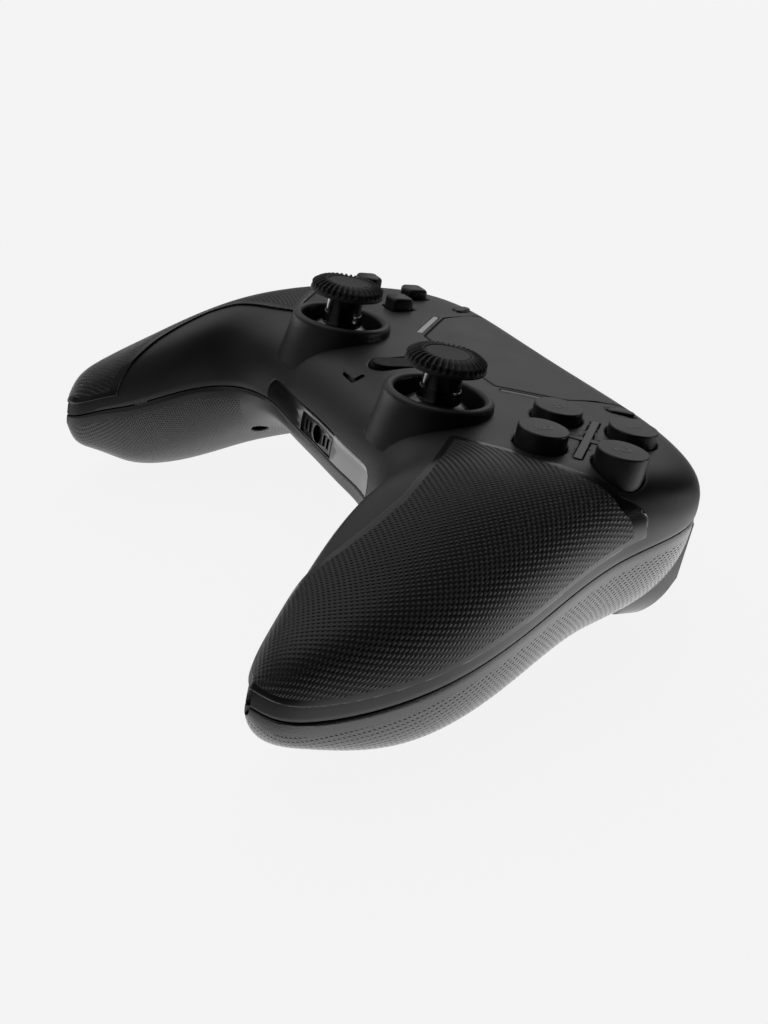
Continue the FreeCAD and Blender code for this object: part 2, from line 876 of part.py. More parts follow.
def bumper():
    return bumper_block(0, bumper_depth, bumper_low, bumper_low + bumper_height)


def bumper_room():
    # Depth that a bumper needs behind the outline over its whole travel
    return bumper_depth + bumper_travel + seam_gap


def bumper_opening():
    return bumper_block(seam_gap, bumper_room(), -overrun, bumper_low + bumper_height + seam_gap)


def grip_film(crown):
    # Textured film on the right grip
    outline = prism(plan_points(film_outline_shares), -2 * grip_drop, grip_drop)
    above = slab(2 * film_edge, film_edge, 2 * grip_drop, last_row)
    outside = dome(1, film_gap + film_thickness, parting_gap / 2, last_row)
    film = outline.common(above).common(outside)
    return film.cut([dome(1, film_gap, -overrun, last_row), crown])


def middle_frame():
    # Plate that carries the rubber membranes and the trigger mounts
    points = both_halves(frame_outline_shares)
    plate = prism(points, frame_floor, frame_top)
    cuts = []
    for side in (-1, 1):
        cuts.append(bar(side * stick_offset, 0, frame_floor - overrun, frame_top + overrun,
                        tower_foot_radius + run_gap))
    post = bar(-diamond_x, diamond_y, frame_top - frame_thickness / 2,
               fulcrum_z - fulcrum_radius - pin_gap + seat_gap / 2, fulcrum_radius)
    ball = Part.makeSphere(fulcrum_radius + pin_gap, at(-diamond_x, diamond_y, fulcrum_z))
    for x, y in screw_places:
        cuts += both(bar(x, y, 2 * frame_floor, 0, screw_radius + boss_wall + run_gap))
    cuts += both(block(bumper_x, rear_reach, frame_top, bumper_length + 2 * run_gap, 2 * bumper_room(),
                       4 * frame_thickness))
    return plate.cut(cuts).fuse(post).cut(ball)


def membrane(x, offset, middle_gap):
    # Rubber sheet with four domes
    sheet = bar(0, 0, frame_top, frame_top + membrane_thickness,
                offset + membrane_dome_radius + membrane_rim)
    domes = []
    for step in range(4):
        high = membrane_dome_top - frame_top
        cone = Part.makeCone(membrane_dome_radius, membrane_dome_radius * membrane_dome_rise_share, high)
        domes.append(turned(moved(cone, 0, offset, frame_top), origin, up, quarter_turn * step))
    solid = joined([sheet] + domes)
    if middle_gap > 0:
        solid = solid.cut(bar(0, 0, frame_top - overrun, 0, middle_gap))
    return moved(solid, x, diamond_y, 0)


def main_board():
    points = both_halves(board_outline_shares)
    board = prism(points, board_top - board_thickness, board_top)
    notch = block(0, panel_face + jack_length / 2, board_top, jack_width + 2 * seam_gap,
                  2 * jack_length, 4 * board_thickness)
    cuts = [notch]
    for x, y in screw_places:
        cuts += both(bar(x, y, 2 * board_top, 0, screw_radius + boss_wall + run_gap))
    return board.cut(cuts)


def headset_socket():
    # Socket with a round blind bore behind the panel
    front = panel_face + panel_thickness + seat_gap
    body = block(0, front + jack_length / 2, panel_z, jack_width, jack_length, jack_height)
    hole = Part.makeCylinder(jack_radius, jack_length - jack_wall, at(0, front, panel_z), ahead)
    return body.cut(hole)


def connector_panel():
    plate = block(0, panel_face + panel_thickness / 2, panel_z, 2 * panel_half, panel_thickness,
                  panel_height)
    cuts = [Part.makeCylinder(panel_hole_radius, 2 * panel_thickness,
                              at(0, panel_face - panel_thickness / 2, panel_z), ahead)]
    for offset in slot_offsets:
        for side in (-1, 1):
            cuts.append(block(side * offset, panel_face, panel_z, slot_width, 4 * panel_thickness,
                              slot_height))
    return plate.cut(cuts)


def contact_strips():
    # Contact plates behind the panel's four slots
    y = panel_face + panel_thickness + seat_gap + contact_thickness / 2
    width = slot_width + 2 * contact_margin
    plates = []
    for offset in slot_offsets:
        for side in (-1, 1):
            plates.append(block(side * offset, y, panel_z, width, contact_thickness,
                                slot_height + 2 * contact_margin))
    return Part.makeCompound(plates)


def usb_place_z():
    return board_top + usb_height / 2 + seat_gap


def usb_slot(gap, length, y):
    # The rounded slot shape of the charging socket
    width = usb_width + 2 * gap
    height = usb_height + 2 * gap
    body = block(0, y, usb_place_z(), width, length, height)
    edges = [edge for edge in body.Edges if runs_along(edge, ahead)]
    return body.makeFillet(height * usb_round_share, edges)


def usb_socket():
    y = rear_reach - shell_wall - usb_length / 2
    shell = usb_slot(0, usb_length, y)
    hole = usb_slot(-usb_wall, usb_length, y + usb_wall)
    tongue = block(0, y - usb_wall, usb_place_z(), usb_width - usb_height, usb_length - 2 * usb_wall,
                   usb_tongue)
    return shell.cut(hole).fuse(tongue)


def battery():
    z = board_top - board_thickness - seam_gap - battery_height / 2
    body = block(0, battery_y, z, battery_length, battery_width, battery_height)
    return rounded(body, battery_height / 4, right)


def rumble_motor():
    place = at(motor_x, motor_y - motor_length / 2, motor_z)
    return Part.makeCylinder(motor_radius, motor_length, place, ahead)


def cradle_ribs():
    # Two upright ribs in the grip that hold the rumble motor
    ribs = []
    high = motor_z - motor_radius / 3
    low = motor_z - 2 * motor_radius
    room = Part.makeCylinder(motor_radius + seat_gap, 2 * motor_length,
                             at(motor_x, motor_y - motor_length, motor_z), ahead)
    for share in (-1, 1):
        rib = block(motor_x, motor_y + share * motor_length / 3, (low + high) / 2, cradle_length,
                    cradle_thickness, high - low)
        ribs.append(rib.cut(room))
    return ribs


def top_boss(place, meet):
    # Boss of the top shell and the hole that the screw bites into
    x, y = place
    solid = bar(x, y, meet, crown_height, screw_radius + boss_wall)
    hole = bar(x, y, meet - overrun, meet + screw_bite, screw_radius + pin_gap / 2)
    return solid, hole


def bottom_boss(place, meet):
    # Boss of the bottom shell and the stepped hole for the screw and its head
    x, y = place
    high = meet - seat_gap
    deep = -2 * grip_drop
    solid = bar(x, y, deep, high, screw_head_radius + boss_wall)
    hole = bar(x, y, deep, high + overrun, screw_radius + seat_gap)
    sink = bar(x, y, deep, high - screw_grip, screw_head_radius + seat_gap)
    return solid, hole.fuse(sink)


def shell_screws():
    screws = []
    for side in (-1, 1):
        for (x, y), meet in zip(screw_places, screw_meets):
            seat = meet - seat_gap - screw_grip
            head = bar(side * x, y, seat - screw_head_height, seat, screw_head_radius)
            high = meet + screw_bite - seam_gap
            screws.append(head.fuse(bar(side * x, y, seat, high, screw_radius)))
    return Part.makeCompound(screws)


def sound_holes():
    holes = []
    for row in range(sound_hole_rows):
        for column in range(sound_hole_columns):
            x = (column - (sound_hole_columns - 1) / 2) * sound_hole_pitch
            y = sound_y + (row - (sound_hole_rows - 1) / 2) * sound_hole_pitch
            holes.append(bar(x, y, -pivot_depth, overrun, sound_hole_radius))
    return holes


def speaker():
    # Small loudspeaker that stands on the middle frame
    return bar(0, speaker_y, frame_top, frame_top + speaker_thickness, speaker_radius)


def bumper_switches():
    switches = []
    for side in (-1, 1):
        y = rear_reach - bumper_depth - bumper_travel - seat_gap - bumper_switch_depth / 2
        height = bumper_z - frame_top
        switches.append(block(side * bumper_x, y, frame_top + height / 2, bumper_height,
                              bumper_switch_depth, height))
    return Part.makeCompound(switches)


def both(shape):
    return [shape, mirrored(shape)]


def build_top(crown):
    # Top shell: crown and towers, hollowed round its bosses, with its openings
    posts = []
    holes = []
    for x, y in frame_posts:
        posts += both(bar(x, y, frame_top, crown_height, frame_post_radius))
    for place, meet in zip(screw_places, screw_meets):
        solid, hole = top_boss(place, meet)
        posts += both(solid)
        holes += both(hole)
    hollow = dome(1, -shell_wall, -overrun, hollow_row)
    hollow = hollow.multiFuse(both(tower_hollow())).cut(posts)
    tools = [hollow] + holes
    tools += both(bar(stick_offset, 0, -tower_depth, tower_depth, well_radius))
    for x, y in button_places():
        tools.append(bar(x, y, -tower_depth, tower_depth, button_radius + button_gap))
    for step in range(4):
        key = turned(key_outline(-pivot_depth, tower_depth, key_gap), origin, up, quarter_turn * step)
        tools.append(moved(key, -diamond_x, diamond_y, 0))
    tools.append(bar(-diamond_x, diamond_y, -pivot_depth, key_plate_top + 2 * run_gap,
                     key_plate_radius + run_gap))
    tools += both(small_button_tool(tower_depth, -pivot_depth, button_gap))
    tools.append(home_tool(tower_depth, -pivot_depth, button_gap))
    tools.append(mute_tool(tower_depth, -pivot_depth, button_gap))
    tools.append(rounded(prism(pad_outline(seam_gap), -pivot_depth / 2, tower_depth), pad_corner, up))
    tools += both(light_strip(seat_gap))
    tools.append(inlay_cross(seam_gap))
    tools.append(front_window(trim_half, trim_bottom, trim_top, trim_corner, seat_gap))
    tools += both(bumper_opening())
    tools += sound_holes()
    return crown.multiFuse(both(tower())).cut(tools)


def build_bottom(belly, foot_z):
    # Bottom shell: belly, hollowed round its bosses and ribs, with its openings
    posts = []
    holes = []
    for place, meet in zip(screw_places, screw_meets):
        solid, hole = bottom_boss(place, meet)
        posts += both(solid)
        holes += both(hole)
    for rib in cradle_ribs():
        posts += both(rib)
    hollow = dome(-1, -shell_wall, -overrun, hollow_row).cut(posts)
    tools = [hollow] + holes
    tools += both(trigger_bay(foot_z))
    tools.append(usb_slot(seam_gap, 3 * usb_length, rear_reach))
    return belly.cut(tools)


def placed(shape, lift, slide):
    # From the face frame to the pad lying on a table
    copy = shape.copy()
    copy.rotate(origin, right, -lie_angle)
    copy.translate(at(0, slide, lift))
    return copy


def table_height(y, low):
    # Height in the face frame of the table under a place
    tilt = math.radians(lie_angle)
    return (low + math.sin(tilt) * y) / math.cos(tilt)


def shell_nodes(crown, foot_z):
    # The two shells, the film on each grip and the trim in the front opening
    belly = dome(-1, 0, parting_gap / 2, last_row)
    trim = front_window(trim_half, trim_bottom, trim_top, trim_corner, 0).common(crown)
    trim = trim.cut(dome(1, -trim_thickness, -overrun, hollow_row))
    trim = trim.cut(block(0, panel_face, panel_z, 2 * (panel_half + seat_gap), 2 * rear_reach,
                          panel_height + 2 * seat_gap))
    film = grip_film(crown)
    return {
        "top_shell": build_top(crown), "bottom_shell": build_bottom(belly, foot_z),
        "front_trim": trim, "connector_panel": connector_panel(), "contact_strips": contact_strips(),
        "grip_film_left": mirrored(film), "grip_film_right": film,
    }


def face_nodes(crown):
    # The flush pieces and the buttons of the face
    under_plate = dome(1, -inlay_thickness, -overrun, hollow_row)
    pad = rounded(prism(pad_outline(0), -pivot_depth / 2, tower_depth), pad_corner, up)
    strip = light_strip(0).common(crown).cut(under_plate)
    proud = dome(1, inlay_proud, parting_gap / 2, last_row)
    small = flanged(small_button_tool, small_button_top, flange_top, flange_thickness, small_flange)
    nodes = {
        "touch_pad": pad.common(crown).cut(dome(1, -pad_thickness, -overrun, hollow_row)),
        "light_strip_left": mirrored(strip), "light_strip_right": strip,
        "button_inlay": inlay_cross(0).common(proud).cut(under_plate),
        "direction_keys": direction_keys(),
        "key_fulcrum": Part.makeSphere(fulcrum_radius, at(-diamond_x, diamond_y, fulcrum_z)),
        "small_button_left": mirrored(small), "small_button_right": small,
        "home_button": flanged(home_tool, home_top, home_flange_top, flange_thickness, small_flange),
        "mute_button": mute_button(),
    }
    for index, place in enumerate(button_places()):
        nodes["face_button_%d" % (index + 1)] = face_button(place)
    return nodes


def paired_nodes(foot_z):
    # Pieces that the pad has once on each side
    nodes = {}
    makers = (("stick_cap", stick_cap), ("stick_post", stick_post), ("stick_block", stick_block),
              ("stick_saddle", stick_saddle), ("stick_arch", stick_arch),
              ("stick_housing", stick_housing), ("stick_sensors", stick_sensors),
              ("trigger_pin", trigger_pin), ("trigger_mount", trigger_mount),
              ("trigger_spring", trigger_spring), ("bumper", bumper), ("rumble_motor", rumble_motor))
    shapes = [(name, maker()) for name, maker in makers] + [("trigger", trigger(foot_z))]
    for name, shape in shapes:
        nodes[name + "_left"] = mirrored(shape)
        nodes[name + "_right"] = shape
    return nodes


def inner_nodes():
    # What the shells enclose
    return {
        "middle_frame": middle_frame(), "button_membrane": membrane(diamond_x, diamond_radius, 0),
        "key_membrane": membrane(-diamond_x, key_offset, 2 * fulcrum_radius),
        "main_board": main_board(), "battery": battery(), "speaker": speaker(),
        "headset_socket": headset_socket(), "usb_socket": usb_socket(),
        "bumper_switches": bumper_switches(), "shell_screws": shell_screws(),
    }


def build():
    # Makes every piece, lays the pad on its grips and triggers and writes the files
    crown = dome(1, 0, parting_gap / 2, last_row)
    belly = dome(-1, 0, parting_gap / 2, last_row)
    low = placed(belly, 0, 0).optimalBoundingBox(False).ZMin
    box = placed(Part.makeCompound([crown, belly]), 0, 0).optimalBoundingBox(False)
    middle = (box.YMin + box.YMax) / 2
    foot_z = table_height(trigger_foot_y + foot_radius, low)
    nodes = shell_nodes(crown, foot_z)
    nodes.update(face_nodes(crown))
    nodes.update(paired_nodes(foot_z))
    nodes.update(inner_nodes())
    for name, shape in nodes.items():
        placed(shape, -low, -middle).exportStep("parts/" + name + ".step")


build()
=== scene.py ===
import json
import math

import bmesh
import bpy
import numpy as np
from mathutils import Matrix, Vector
from mathutils.bvhtree import BVHTree


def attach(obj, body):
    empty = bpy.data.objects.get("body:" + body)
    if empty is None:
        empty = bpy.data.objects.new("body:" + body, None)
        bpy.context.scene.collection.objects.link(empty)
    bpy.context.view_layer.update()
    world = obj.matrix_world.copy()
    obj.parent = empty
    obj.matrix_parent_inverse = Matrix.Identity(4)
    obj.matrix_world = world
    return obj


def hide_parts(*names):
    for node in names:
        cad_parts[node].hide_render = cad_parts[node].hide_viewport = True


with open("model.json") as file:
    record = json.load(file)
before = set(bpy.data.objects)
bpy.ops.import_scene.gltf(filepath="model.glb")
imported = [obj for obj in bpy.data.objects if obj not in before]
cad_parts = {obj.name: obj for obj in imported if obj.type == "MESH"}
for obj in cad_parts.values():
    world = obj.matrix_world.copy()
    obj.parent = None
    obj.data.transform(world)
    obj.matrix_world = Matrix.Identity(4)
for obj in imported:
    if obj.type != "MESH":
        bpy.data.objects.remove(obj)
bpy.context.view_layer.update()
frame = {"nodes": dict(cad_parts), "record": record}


# Top shell: the moulded crown of the pad in black plastic, with a raised ring round
# each thumbstick. It snaps and screws onto the bottom shell along the parting line.
# All shapes are made in the plane of the face, in millimetres, and then laid down.

LIE_ANGLE = math.radians(12.5)
LIFT = 46.6697
SLIDE = 6.859
HALF_WIDTH = 80.0
FRONT_REACH = 54.0
REAR_REACH = 50.5
GRIP_DROP = 42.0
CROWN_HEIGHT = 20.0
BELLY_DEPTH = 22.0
PARTING_GAP = 0.4
FLANK_SHARE = 0.6
SHELL_WALL = 2.0
SPANS = 4
EVEN_SHARE = 0.55
EASED_SHARE = 0.45
TINY = 1e-9

INNER_LINE = (
    (0, -0.268, -0.507), (0.19, -0.272, -0.504), (0.364, -0.28, -0.504), (0.49, -0.35, -0.53),
    (0.572, -0.504, -0.602), (0.628, -0.65, -0.707), (0.694, -0.78, -0.819),
    (0.76, -0.9, -0.91), (0.81, -0.972, -0.975), (0.842, -0.998, -0.998),
)
OUTER_LINE = (
    (0, 1.0, -0.174), (0.316, 1.0, -0.174), (0.602, 0.99, -0.2), (0.791, 0.883, -0.267),
    (0.861, 0.469, -0.4), (0.931, 0.016, -0.648), (0.985, -0.404, -0.857),
    (0.962, -0.804, -0.98), (0.914, -0.945, -1.0), (0.862, -0.994, -1.0),
)
CROWN = (
    (0.995, 0.715, 0.635), (0.99, 0.725, 0.645), (0.975, 0.765, 0.66), (0.99, 0.855, 0.71),
    (1.01, 0.995, 0.835), (0.91, 1.05, 0.9), (0.755, 0.875, 0.815), (0.475, 0.6, 0.615),
    (0.28, 0.38, 0.39), (0.1, 0.16, 0.17),
)
BELLY = (
    (0.336, 0.914, 0.955), (0.332, 0.905, 0.964), (0.436, 0.927, 1.0), (0.695, 1.055, 0.973),
    (0.841, 1.114, 0.927), (0.9, 1.091, 0.891), (0.805, 0.895, 0.705), (0.514, 0.55, 0.373),
    (0.3, 0.32, 0.22), (0.1, 0.11, 0.08),
)
POLE_PLACES = (0, -0.01, 0.12, 0.45, 0.86, 1.01, 1)


def lay(points):
    # From the plane of the face, in millimetres, to the pad lying on the table, in metres
    x, y, z = np.asarray(points, float).T
    turn, drop = math.cos(LIE_ANGLE), math.sin(LIE_ANGLE)
    return np.stack([x, turn * y + drop * z + SLIDE, turn * z - drop * y + LIFT], 1) / 1000


def line_point(shares):
    x, y, z = shares
    reach = REAR_REACH if y > 0 else FRONT_REACH
    return np.array([x * HALF_WIDTH, y * reach, z * GRIP_DROP])


def line_normal(line, row, outward):
    along = line_point(line[min(row + 1, 9)]) - line_point(line[max(row - 1, 0)])
    if row == 0:
        along[1] = 0
    along[2] = 0
    along /= np.linalg.norm(along)
    return np.array([-along[1], along[0], 0]) * outward


def section_poles(row, side, sign, grow):
    start = line_point(INNER_LINE[row]) + line_normal(INNER_LINE, row, -1) * grow
    end = line_point(OUTER_LINE[row]) + line_normal(OUTER_LINE, row, 1) * grow
    shares, height = (CROWN, CROWN_HEIGHT) if sign > 0 else (BELLY, BELLY_DEPTH)
    inner, middle, outer = (share * height + grow for share in shares[row])
    base = PARTING_GAP / 2
    rises = (base, FLANK_SHARE * inner, inner, middle, outer, FLANK_SHARE * outer, base)
    poles = [start + (end - start) * place + np.array([0, 0, sign * rise])
             for place, rise in zip(POLE_PLACES, rises)]
    return np.array(poles) * np.array([side, 1, 1])


def basis(places):
    # Cubic B-spline weights of seven poles at places from 0 to 4
    knots = np.array([0, 0, 0, 0, 1, 2, 3, 4, 4, 4, 4], float)
    places = np.clip(places, 0, SPANS - TINY)[:, None]
    weights = ((places >= knots[:-1]) & (places < knots[1:])).astype(float)
    for degree in range(1, 4):
        low = knots[degree:-1] - knots[:-degree - 1]
        high = knots[degree + 1:] - knots[1:-degree]
        left = np.where(low > 0, (places - knots[:-degree - 1]) / np.where(low > 0, low, 1), 0)
        rest = np.where(high > 0, (knots[degree + 1:] - places) / np.where(high > 0, high, 1), 0)
        weights = left * weights[:, :-1] + rest * weights[:, 1:]
    return weights


def smooth_through(knots, values, places):
    # Natural cubic spline through rows of values
    steps = np.diff(knots)
    count = len(knots)
    system = np.eye(count)
    right = np.zeros((count, values.shape[1]))
    slopes = np.diff(values, axis=0) / steps[:, None]
    for i in range(1, count - 1):
        system[i, i - 1:i + 2] = (steps[i - 1], 2 * (steps[i - 1] + steps[i]), steps[i])
        right[i] = 6 * (slopes[i] - slopes[i - 1])
    curved = np.linalg.solve(system, right)
    span = np.clip(np.searchsorted(knots, places) - 1, 0, count - 2)
    step = steps[span][:, None]
    ahead = ((places - knots[span]) / steps[span])[:, None]
    back = 1 - ahead
    bend = ((back ** 3 - back) * curved[span] + (ahead ** 3 - ahead) * curved[span + 1]) * step ** 2 / 6
    return back * values[span] + ahead * values[span + 1] + bend


def dome_points(sign, grow, along_count, across_count, edge=0.0):
    # A grid of points over the crown (sign 1) or the belly (sign -1)
    rows = [(row, -1) for row in range(9, 0, -1)] + [(row, 1) for row in range(0, 10)]
    poles = np.array([section_poles(row, side, sign, grow) for row, side in rows])
    middles = poles.mean(axis=1)
    knots = np.concatenate([[0], np.cumsum(np.linalg.norm(np.diff(middles, axis=0), axis=1))])
    places = np.linspace(0, knots[-1], along_count)
    dense = smooth_through(knots, poles.reshape(len(rows), -1), places).reshape(along_count, 7, 3)
    share = np.linspace(0, 1, across_count)
    eased = 0.5 - 0.5 * np.cos(math.pi * share)
    across = SPANS * (EVEN_SHARE * share + EASED_SHARE * eased)
    points = np.einsum("vp,upc->uvc", basis(across), dense)
    if edge > 0:
        # The edge along the parting line is rounded
        centre = dense.mean(axis=1)[:, None, :]
        middle = across_count // 2
        for end, half in ((0, slice(0, middle)), (-1, slice(middle, across_count))):
            rise = np.abs(points[:, half, 2] - dense[:, end, None, 2])
            left = np.clip(edge ** 2 - (edge - rise) ** 2, 0, None)
            inset = np.where(rise < edge, edge - np.sqrt(left), 0)
            towards = centre - points[:, half]
            towards[..., 2] = 0
            towards /= np.linalg.norm(towards, axis=2, keepdims=True) + TINY
            points[:, half] += towards * inset[..., None]
    return points


def skin(name, points):
    # A grid with its vertices set on the given rows of points
    along_count, across_count = points.shape[:2]
    bpy.ops.object.select_all(action="DESELECT")
    bpy.ops.mesh.primitive_grid_add(x_subdivisions=along_count - 1, y_subdivisions=across_count - 1, size=2)
    piece = bpy.context.active_object
    piece.name = name
    piece.data.name = name
    flat = np.empty(len(piece.data.vertices) * 3)
    piece.data.vertices.foreach_get("co", flat)
    flat = flat.reshape(-1, 3)
    column = np.rint((flat[:, 0] + 1) / 2 * (along_count - 1)).astype(int)
    line = np.rint((flat[:, 1] + 1) / 2 * (across_count - 1)).astype(int)
    piece.data.vertices.foreach_set("co", points[column, line].ravel())
    piece.data.update()
    return piece


def corner_values(piece, field, width):
    values = np.empty(len(piece.data.vertices) * width)
    piece.data.vertices.foreach_get(field, values)
    return values.reshape(-1, width)


def outline_slope(distance, points):
    step = 0.02
    slope = np.empty_like(points)
    for axis in range(3):
        move = np.zeros(3)
        move[axis] = step
        slope[:, axis] = (distance(points + move) - distance(points - move)) / (2 * step)
    return slope


LONGEST_STEP = 0.35
CLOSE_ENOUGH = 0.12


def trim(piece, distance, keep=1, cuts=2, band=1.5, rounding=0.0):
    # Keeps a skin where keep * distance is above zero, with its edge on the outline
    mesh = bmesh.new()
    mesh.from_mesh(piece.data)
    mesh.faces.ensure_lookup_table()
    centres = np.array([face.calc_center_median()[:] for face in mesh.faces])
    near = np.abs(distance(centres)) < band
    edges = {edge for face, close in zip(mesh.faces, near) if close for edge in face.edges}
    if cuts and edges:
        bmesh.ops.subdivide_edges(mesh, edges=list(edges), cuts=cuts, use_grid_fill=True)
    mesh.normal_update()
    points = np.array([vertex.co[:] for vertex in mesh.verts])
    normals = np.array([vertex.normal[:] for vertex in mesh.verts])
    value = distance(points) * keep
    mesh.verts.index_update()
    drop = []
    snap = np.zeros(len(points), bool)
    for face in mesh.faces:
        inside = [value[vertex.index] > 0 for vertex in face.verts]
        if not any(inside):
            drop.append(face)
        elif not all(inside):
            for vertex, good in zip(face.verts, inside):
                if not good:
                    snap[vertex.index] = True
    moved = points.copy()
    for _ in range(3):
        part = moved[snap]
        slope = outline_slope(distance, part)
        facing = normals[snap]
        slope -= facing * np.sum(slope * facing, axis=1, keepdims=True)
        size = np.sum(slope ** 2, axis=1, keepdims=True) + TINY
        step = -distance(part)[:, None] * slope / size
        length = np.linalg.norm(step, axis=1, keepdims=True) + TINY
        moved[snap] = part + step * np.minimum(1, LONGEST_STEP / length)
    # A place that can't reach the outline goes, with its faces
    lost = snap & (np.abs(distance(moved)) > CLOSE_ENOUGH)
    drop += [face for face in mesh.faces if any(lost[vertex.index] for vertex in face.verts)]
    drop = list(dict.fromkeys(drop))
    if rounding > 0:
        value = distance(moved) * keep
        short = np.clip(rounding - np.clip(value, 0, rounding), 0, None)
        sink = rounding - np.sqrt(np.clip(rounding ** 2 - short ** 2, 0, None))
        moved -= normals * sink[:, None] * (value < rounding)[:, None]
    for vertex, place in zip(mesh.verts, moved):
        vertex.co = place
    bmesh.ops.delete(mesh, geom=drop, context="FACES")
    mesh.to_mesh(piece.data)
    mesh.free()
    piece.data.update()


def drop_islands(piece, least=60):
    # Takes away the small loose patches that trimming leaves inside an opening
    mesh = bmesh.new()
    mesh.from_mesh(piece.data)
    left = set(mesh.faces)
    while left:
        group, front = [], [left.pop()]
        while front:
            face = front.pop()
            group.append(face)
            for edge in face.edges:
                for other in edge.link_faces:
                    if other in left:
                        left.remove(other)
                        front.append(other)
        if len(group) < least:
            bmesh.ops.delete(mesh, geom=group, context="FACES")
    mesh.to_mesh(piece.data)
    mesh.free()


def finish_with(piece, kind, **settings):
    # Adds one modifier and applies it
    bpy.ops.object.select_all(action="DESELECT")
    piece.select_set(True)
    bpy.context.view_layer.objects.active = piece
    modifier = piece.modifiers.new(kind.lower(), kind)
    for key, value in settings.items():
        setattr(modifier, key, value)
    bpy.ops.object.modifier_apply(modifier=modifier.name)


def thicken(piece, wall):
    # Gives a skin its wall, with each inner point straight below its outer one
    data = piece.data
    count = len(data.vertices)
    normals = np.zeros((count, 3))
    for face in data.polygons:
        normals[list(face.vertices)] += np.array(face.normal) * face.area
    ends = np.array([edge.vertices[:] for edge in data.edges])
    for _ in range(3):
        spread = normals.copy()
        np.add.at(spread, ends[:, 0], normals[ends[:, 1]])
        np.add.at(spread, ends[:, 1], normals[ends[:, 0]])
        normals = spread
    normals /= np.maximum(np.linalg.norm(normals, axis=1), 1e-12)[:, None]
    finish_with(piece, "SOLIDIFY", thickness=wall, offset=-1)
    places = np.empty(len(piece.data.vertices) * 3)
    piece.data.vertices.foreach_get("co", places)
    places = places.reshape(-1, 3)
    places[count:2 * count] = places[:count] - normals * wall
    piece.data.vertices.foreach_set("co", places.ravel())
    piece.data.update()


def smooth_faces(piece, angle=35):
    bpy.ops.object.select_all(action="DESELECT")
    piece.select_set(True)
    bpy.context.view_layer.objects.active = piece
    bpy.ops.object.shade_smooth_by_angle(angle=math.radians(angle))


def lay_down(piece):
    points = corner_values(piece, "co", 3)
    piece.data.vertices.foreach_set("co", lay(points).ravel())
    piece.data.update()


# Outlines, as signed distances in millimetres: below zero inside

def disc(x, y, radius):
    return lambda p: np.hypot(p[:, 0] - x, p[:, 1] - y) - radius


def bar_outline(x, y, length, width, turn, corner):
    # A bar with rounded corners, its length turned from the Y axis
    along = math.radians(turn)

    def distance(p):
        dx, dy = p[:, 0] - x, p[:, 1] - y
        u = dx * math.cos(along) - dy * math.sin(along)
        v = dx * math.sin(along) + dy * math.cos(along)
        qu = np.abs(u) - width / 2 + corner
        qv = np.abs(v) - length / 2 + corner
        outside = np.hypot(np.clip(qu, 0, None), np.clip(qv, 0, None))
        return outside + np.clip(np.maximum(qu, qv), None, 0) - corner
    return distance


def polygon_outline(corners, grow=0.0):
    # A closed outline of straight sides
    ring = np.array(corners, float)
    area = np.sum(ring[:, 0] * np.roll(ring[:, 1], -1) - np.roll(ring[:, 0], -1) * ring[:, 1])
    if area < 0:
        ring = ring[::-1]

    def distance(p):
        best = np.full(len(p), 1e9)
        inside = np.zeros(len(p), bool)
        spots = p[:, :2]
        for a, b in zip(ring, np.roll(ring, -1, axis=0)):
            edge = b - a
            share = np.clip(((spots - a) @ edge) / (edge @ edge), 0, 1)
            best = np.minimum(best, np.hypot(*(spots - a - share[:, None] * edge).T))
            crossing = (a[1] > spots[:, 1]) != (b[1] > spots[:, 1])
            rise = np.where(abs(edge[1]) > TINY, edge[1], TINY)
            inside ^= crossing & (spots[:, 0] < edge[0] * (spots[:, 1] - a[1]) / rise + a[0])
        return np.where(inside, -best, best) - grow
    return distance


def box_outline(low, high):
    low, high = np.array(low, float), np.array(high, float)
    middle, half = (low + high) / 2, (high - low) / 2

    def distance(p):
        q = np.abs(p - middle) - half
        return np.linalg.norm(np.clip(q, 0, None), axis=1) + np.clip(q.max(axis=1), None, 0)
    return distance


WINDOW_HALF_WIDTH = 28.5
WINDOW_HALF_HEIGHT = 4.25
WINDOW_Z = -19.25
WINDOW_CORNER = 4.0
WINDOW_REAR = -6
BUMPER_X = 47
BUMPER_HALF_LENGTH = 11.15
BUMPER_RISE = 3.3
BUMPER_HALF_HEIGHT = 3.35
BUMPER_FRONT = 45.3


def front_window(grow):
    # The rounded opening in the front flank, seen along the Y axis
    def distance(p):
        qx = np.abs(p[:, 0]) - WINDOW_HALF_WIDTH - grow + WINDOW_CORNER
        qz = np.abs(p[:, 2] - WINDOW_Z) - WINDOW_HALF_HEIGHT - grow + WINDOW_CORNER
        outside = np.hypot(np.clip(qx, 0, None), np.clip(qz, 0, None))
        ring = outside + np.clip(np.maximum(qx, qz), None, 0) - WINDOW_CORNER
        return np.maximum(ring, p[:, 1] - WINDOW_REAR)
    return distance


def bumper_window(side, grow=0.0):
    # The opening of a bumper, over the parting line along the rear
    line = np.array([line_point(shares) for shares in OUTER_LINE[:4]])

    def distance(p):
        base = np.interp(side * p[:, 0], line[:, 0], line[:, 2])
        level = np.abs(p[:, 2] - base - BUMPER_RISE) - BUMPER_HALF_HEIGHT - grow
        ends = np.abs(side * p[:, 0] - BUMPER_X) - BUMPER_HALF_LENGTH - grow
        return np.maximum(np.maximum(ends, level), BUMPER_FRONT - p[:, 1] - grow)
    return distance


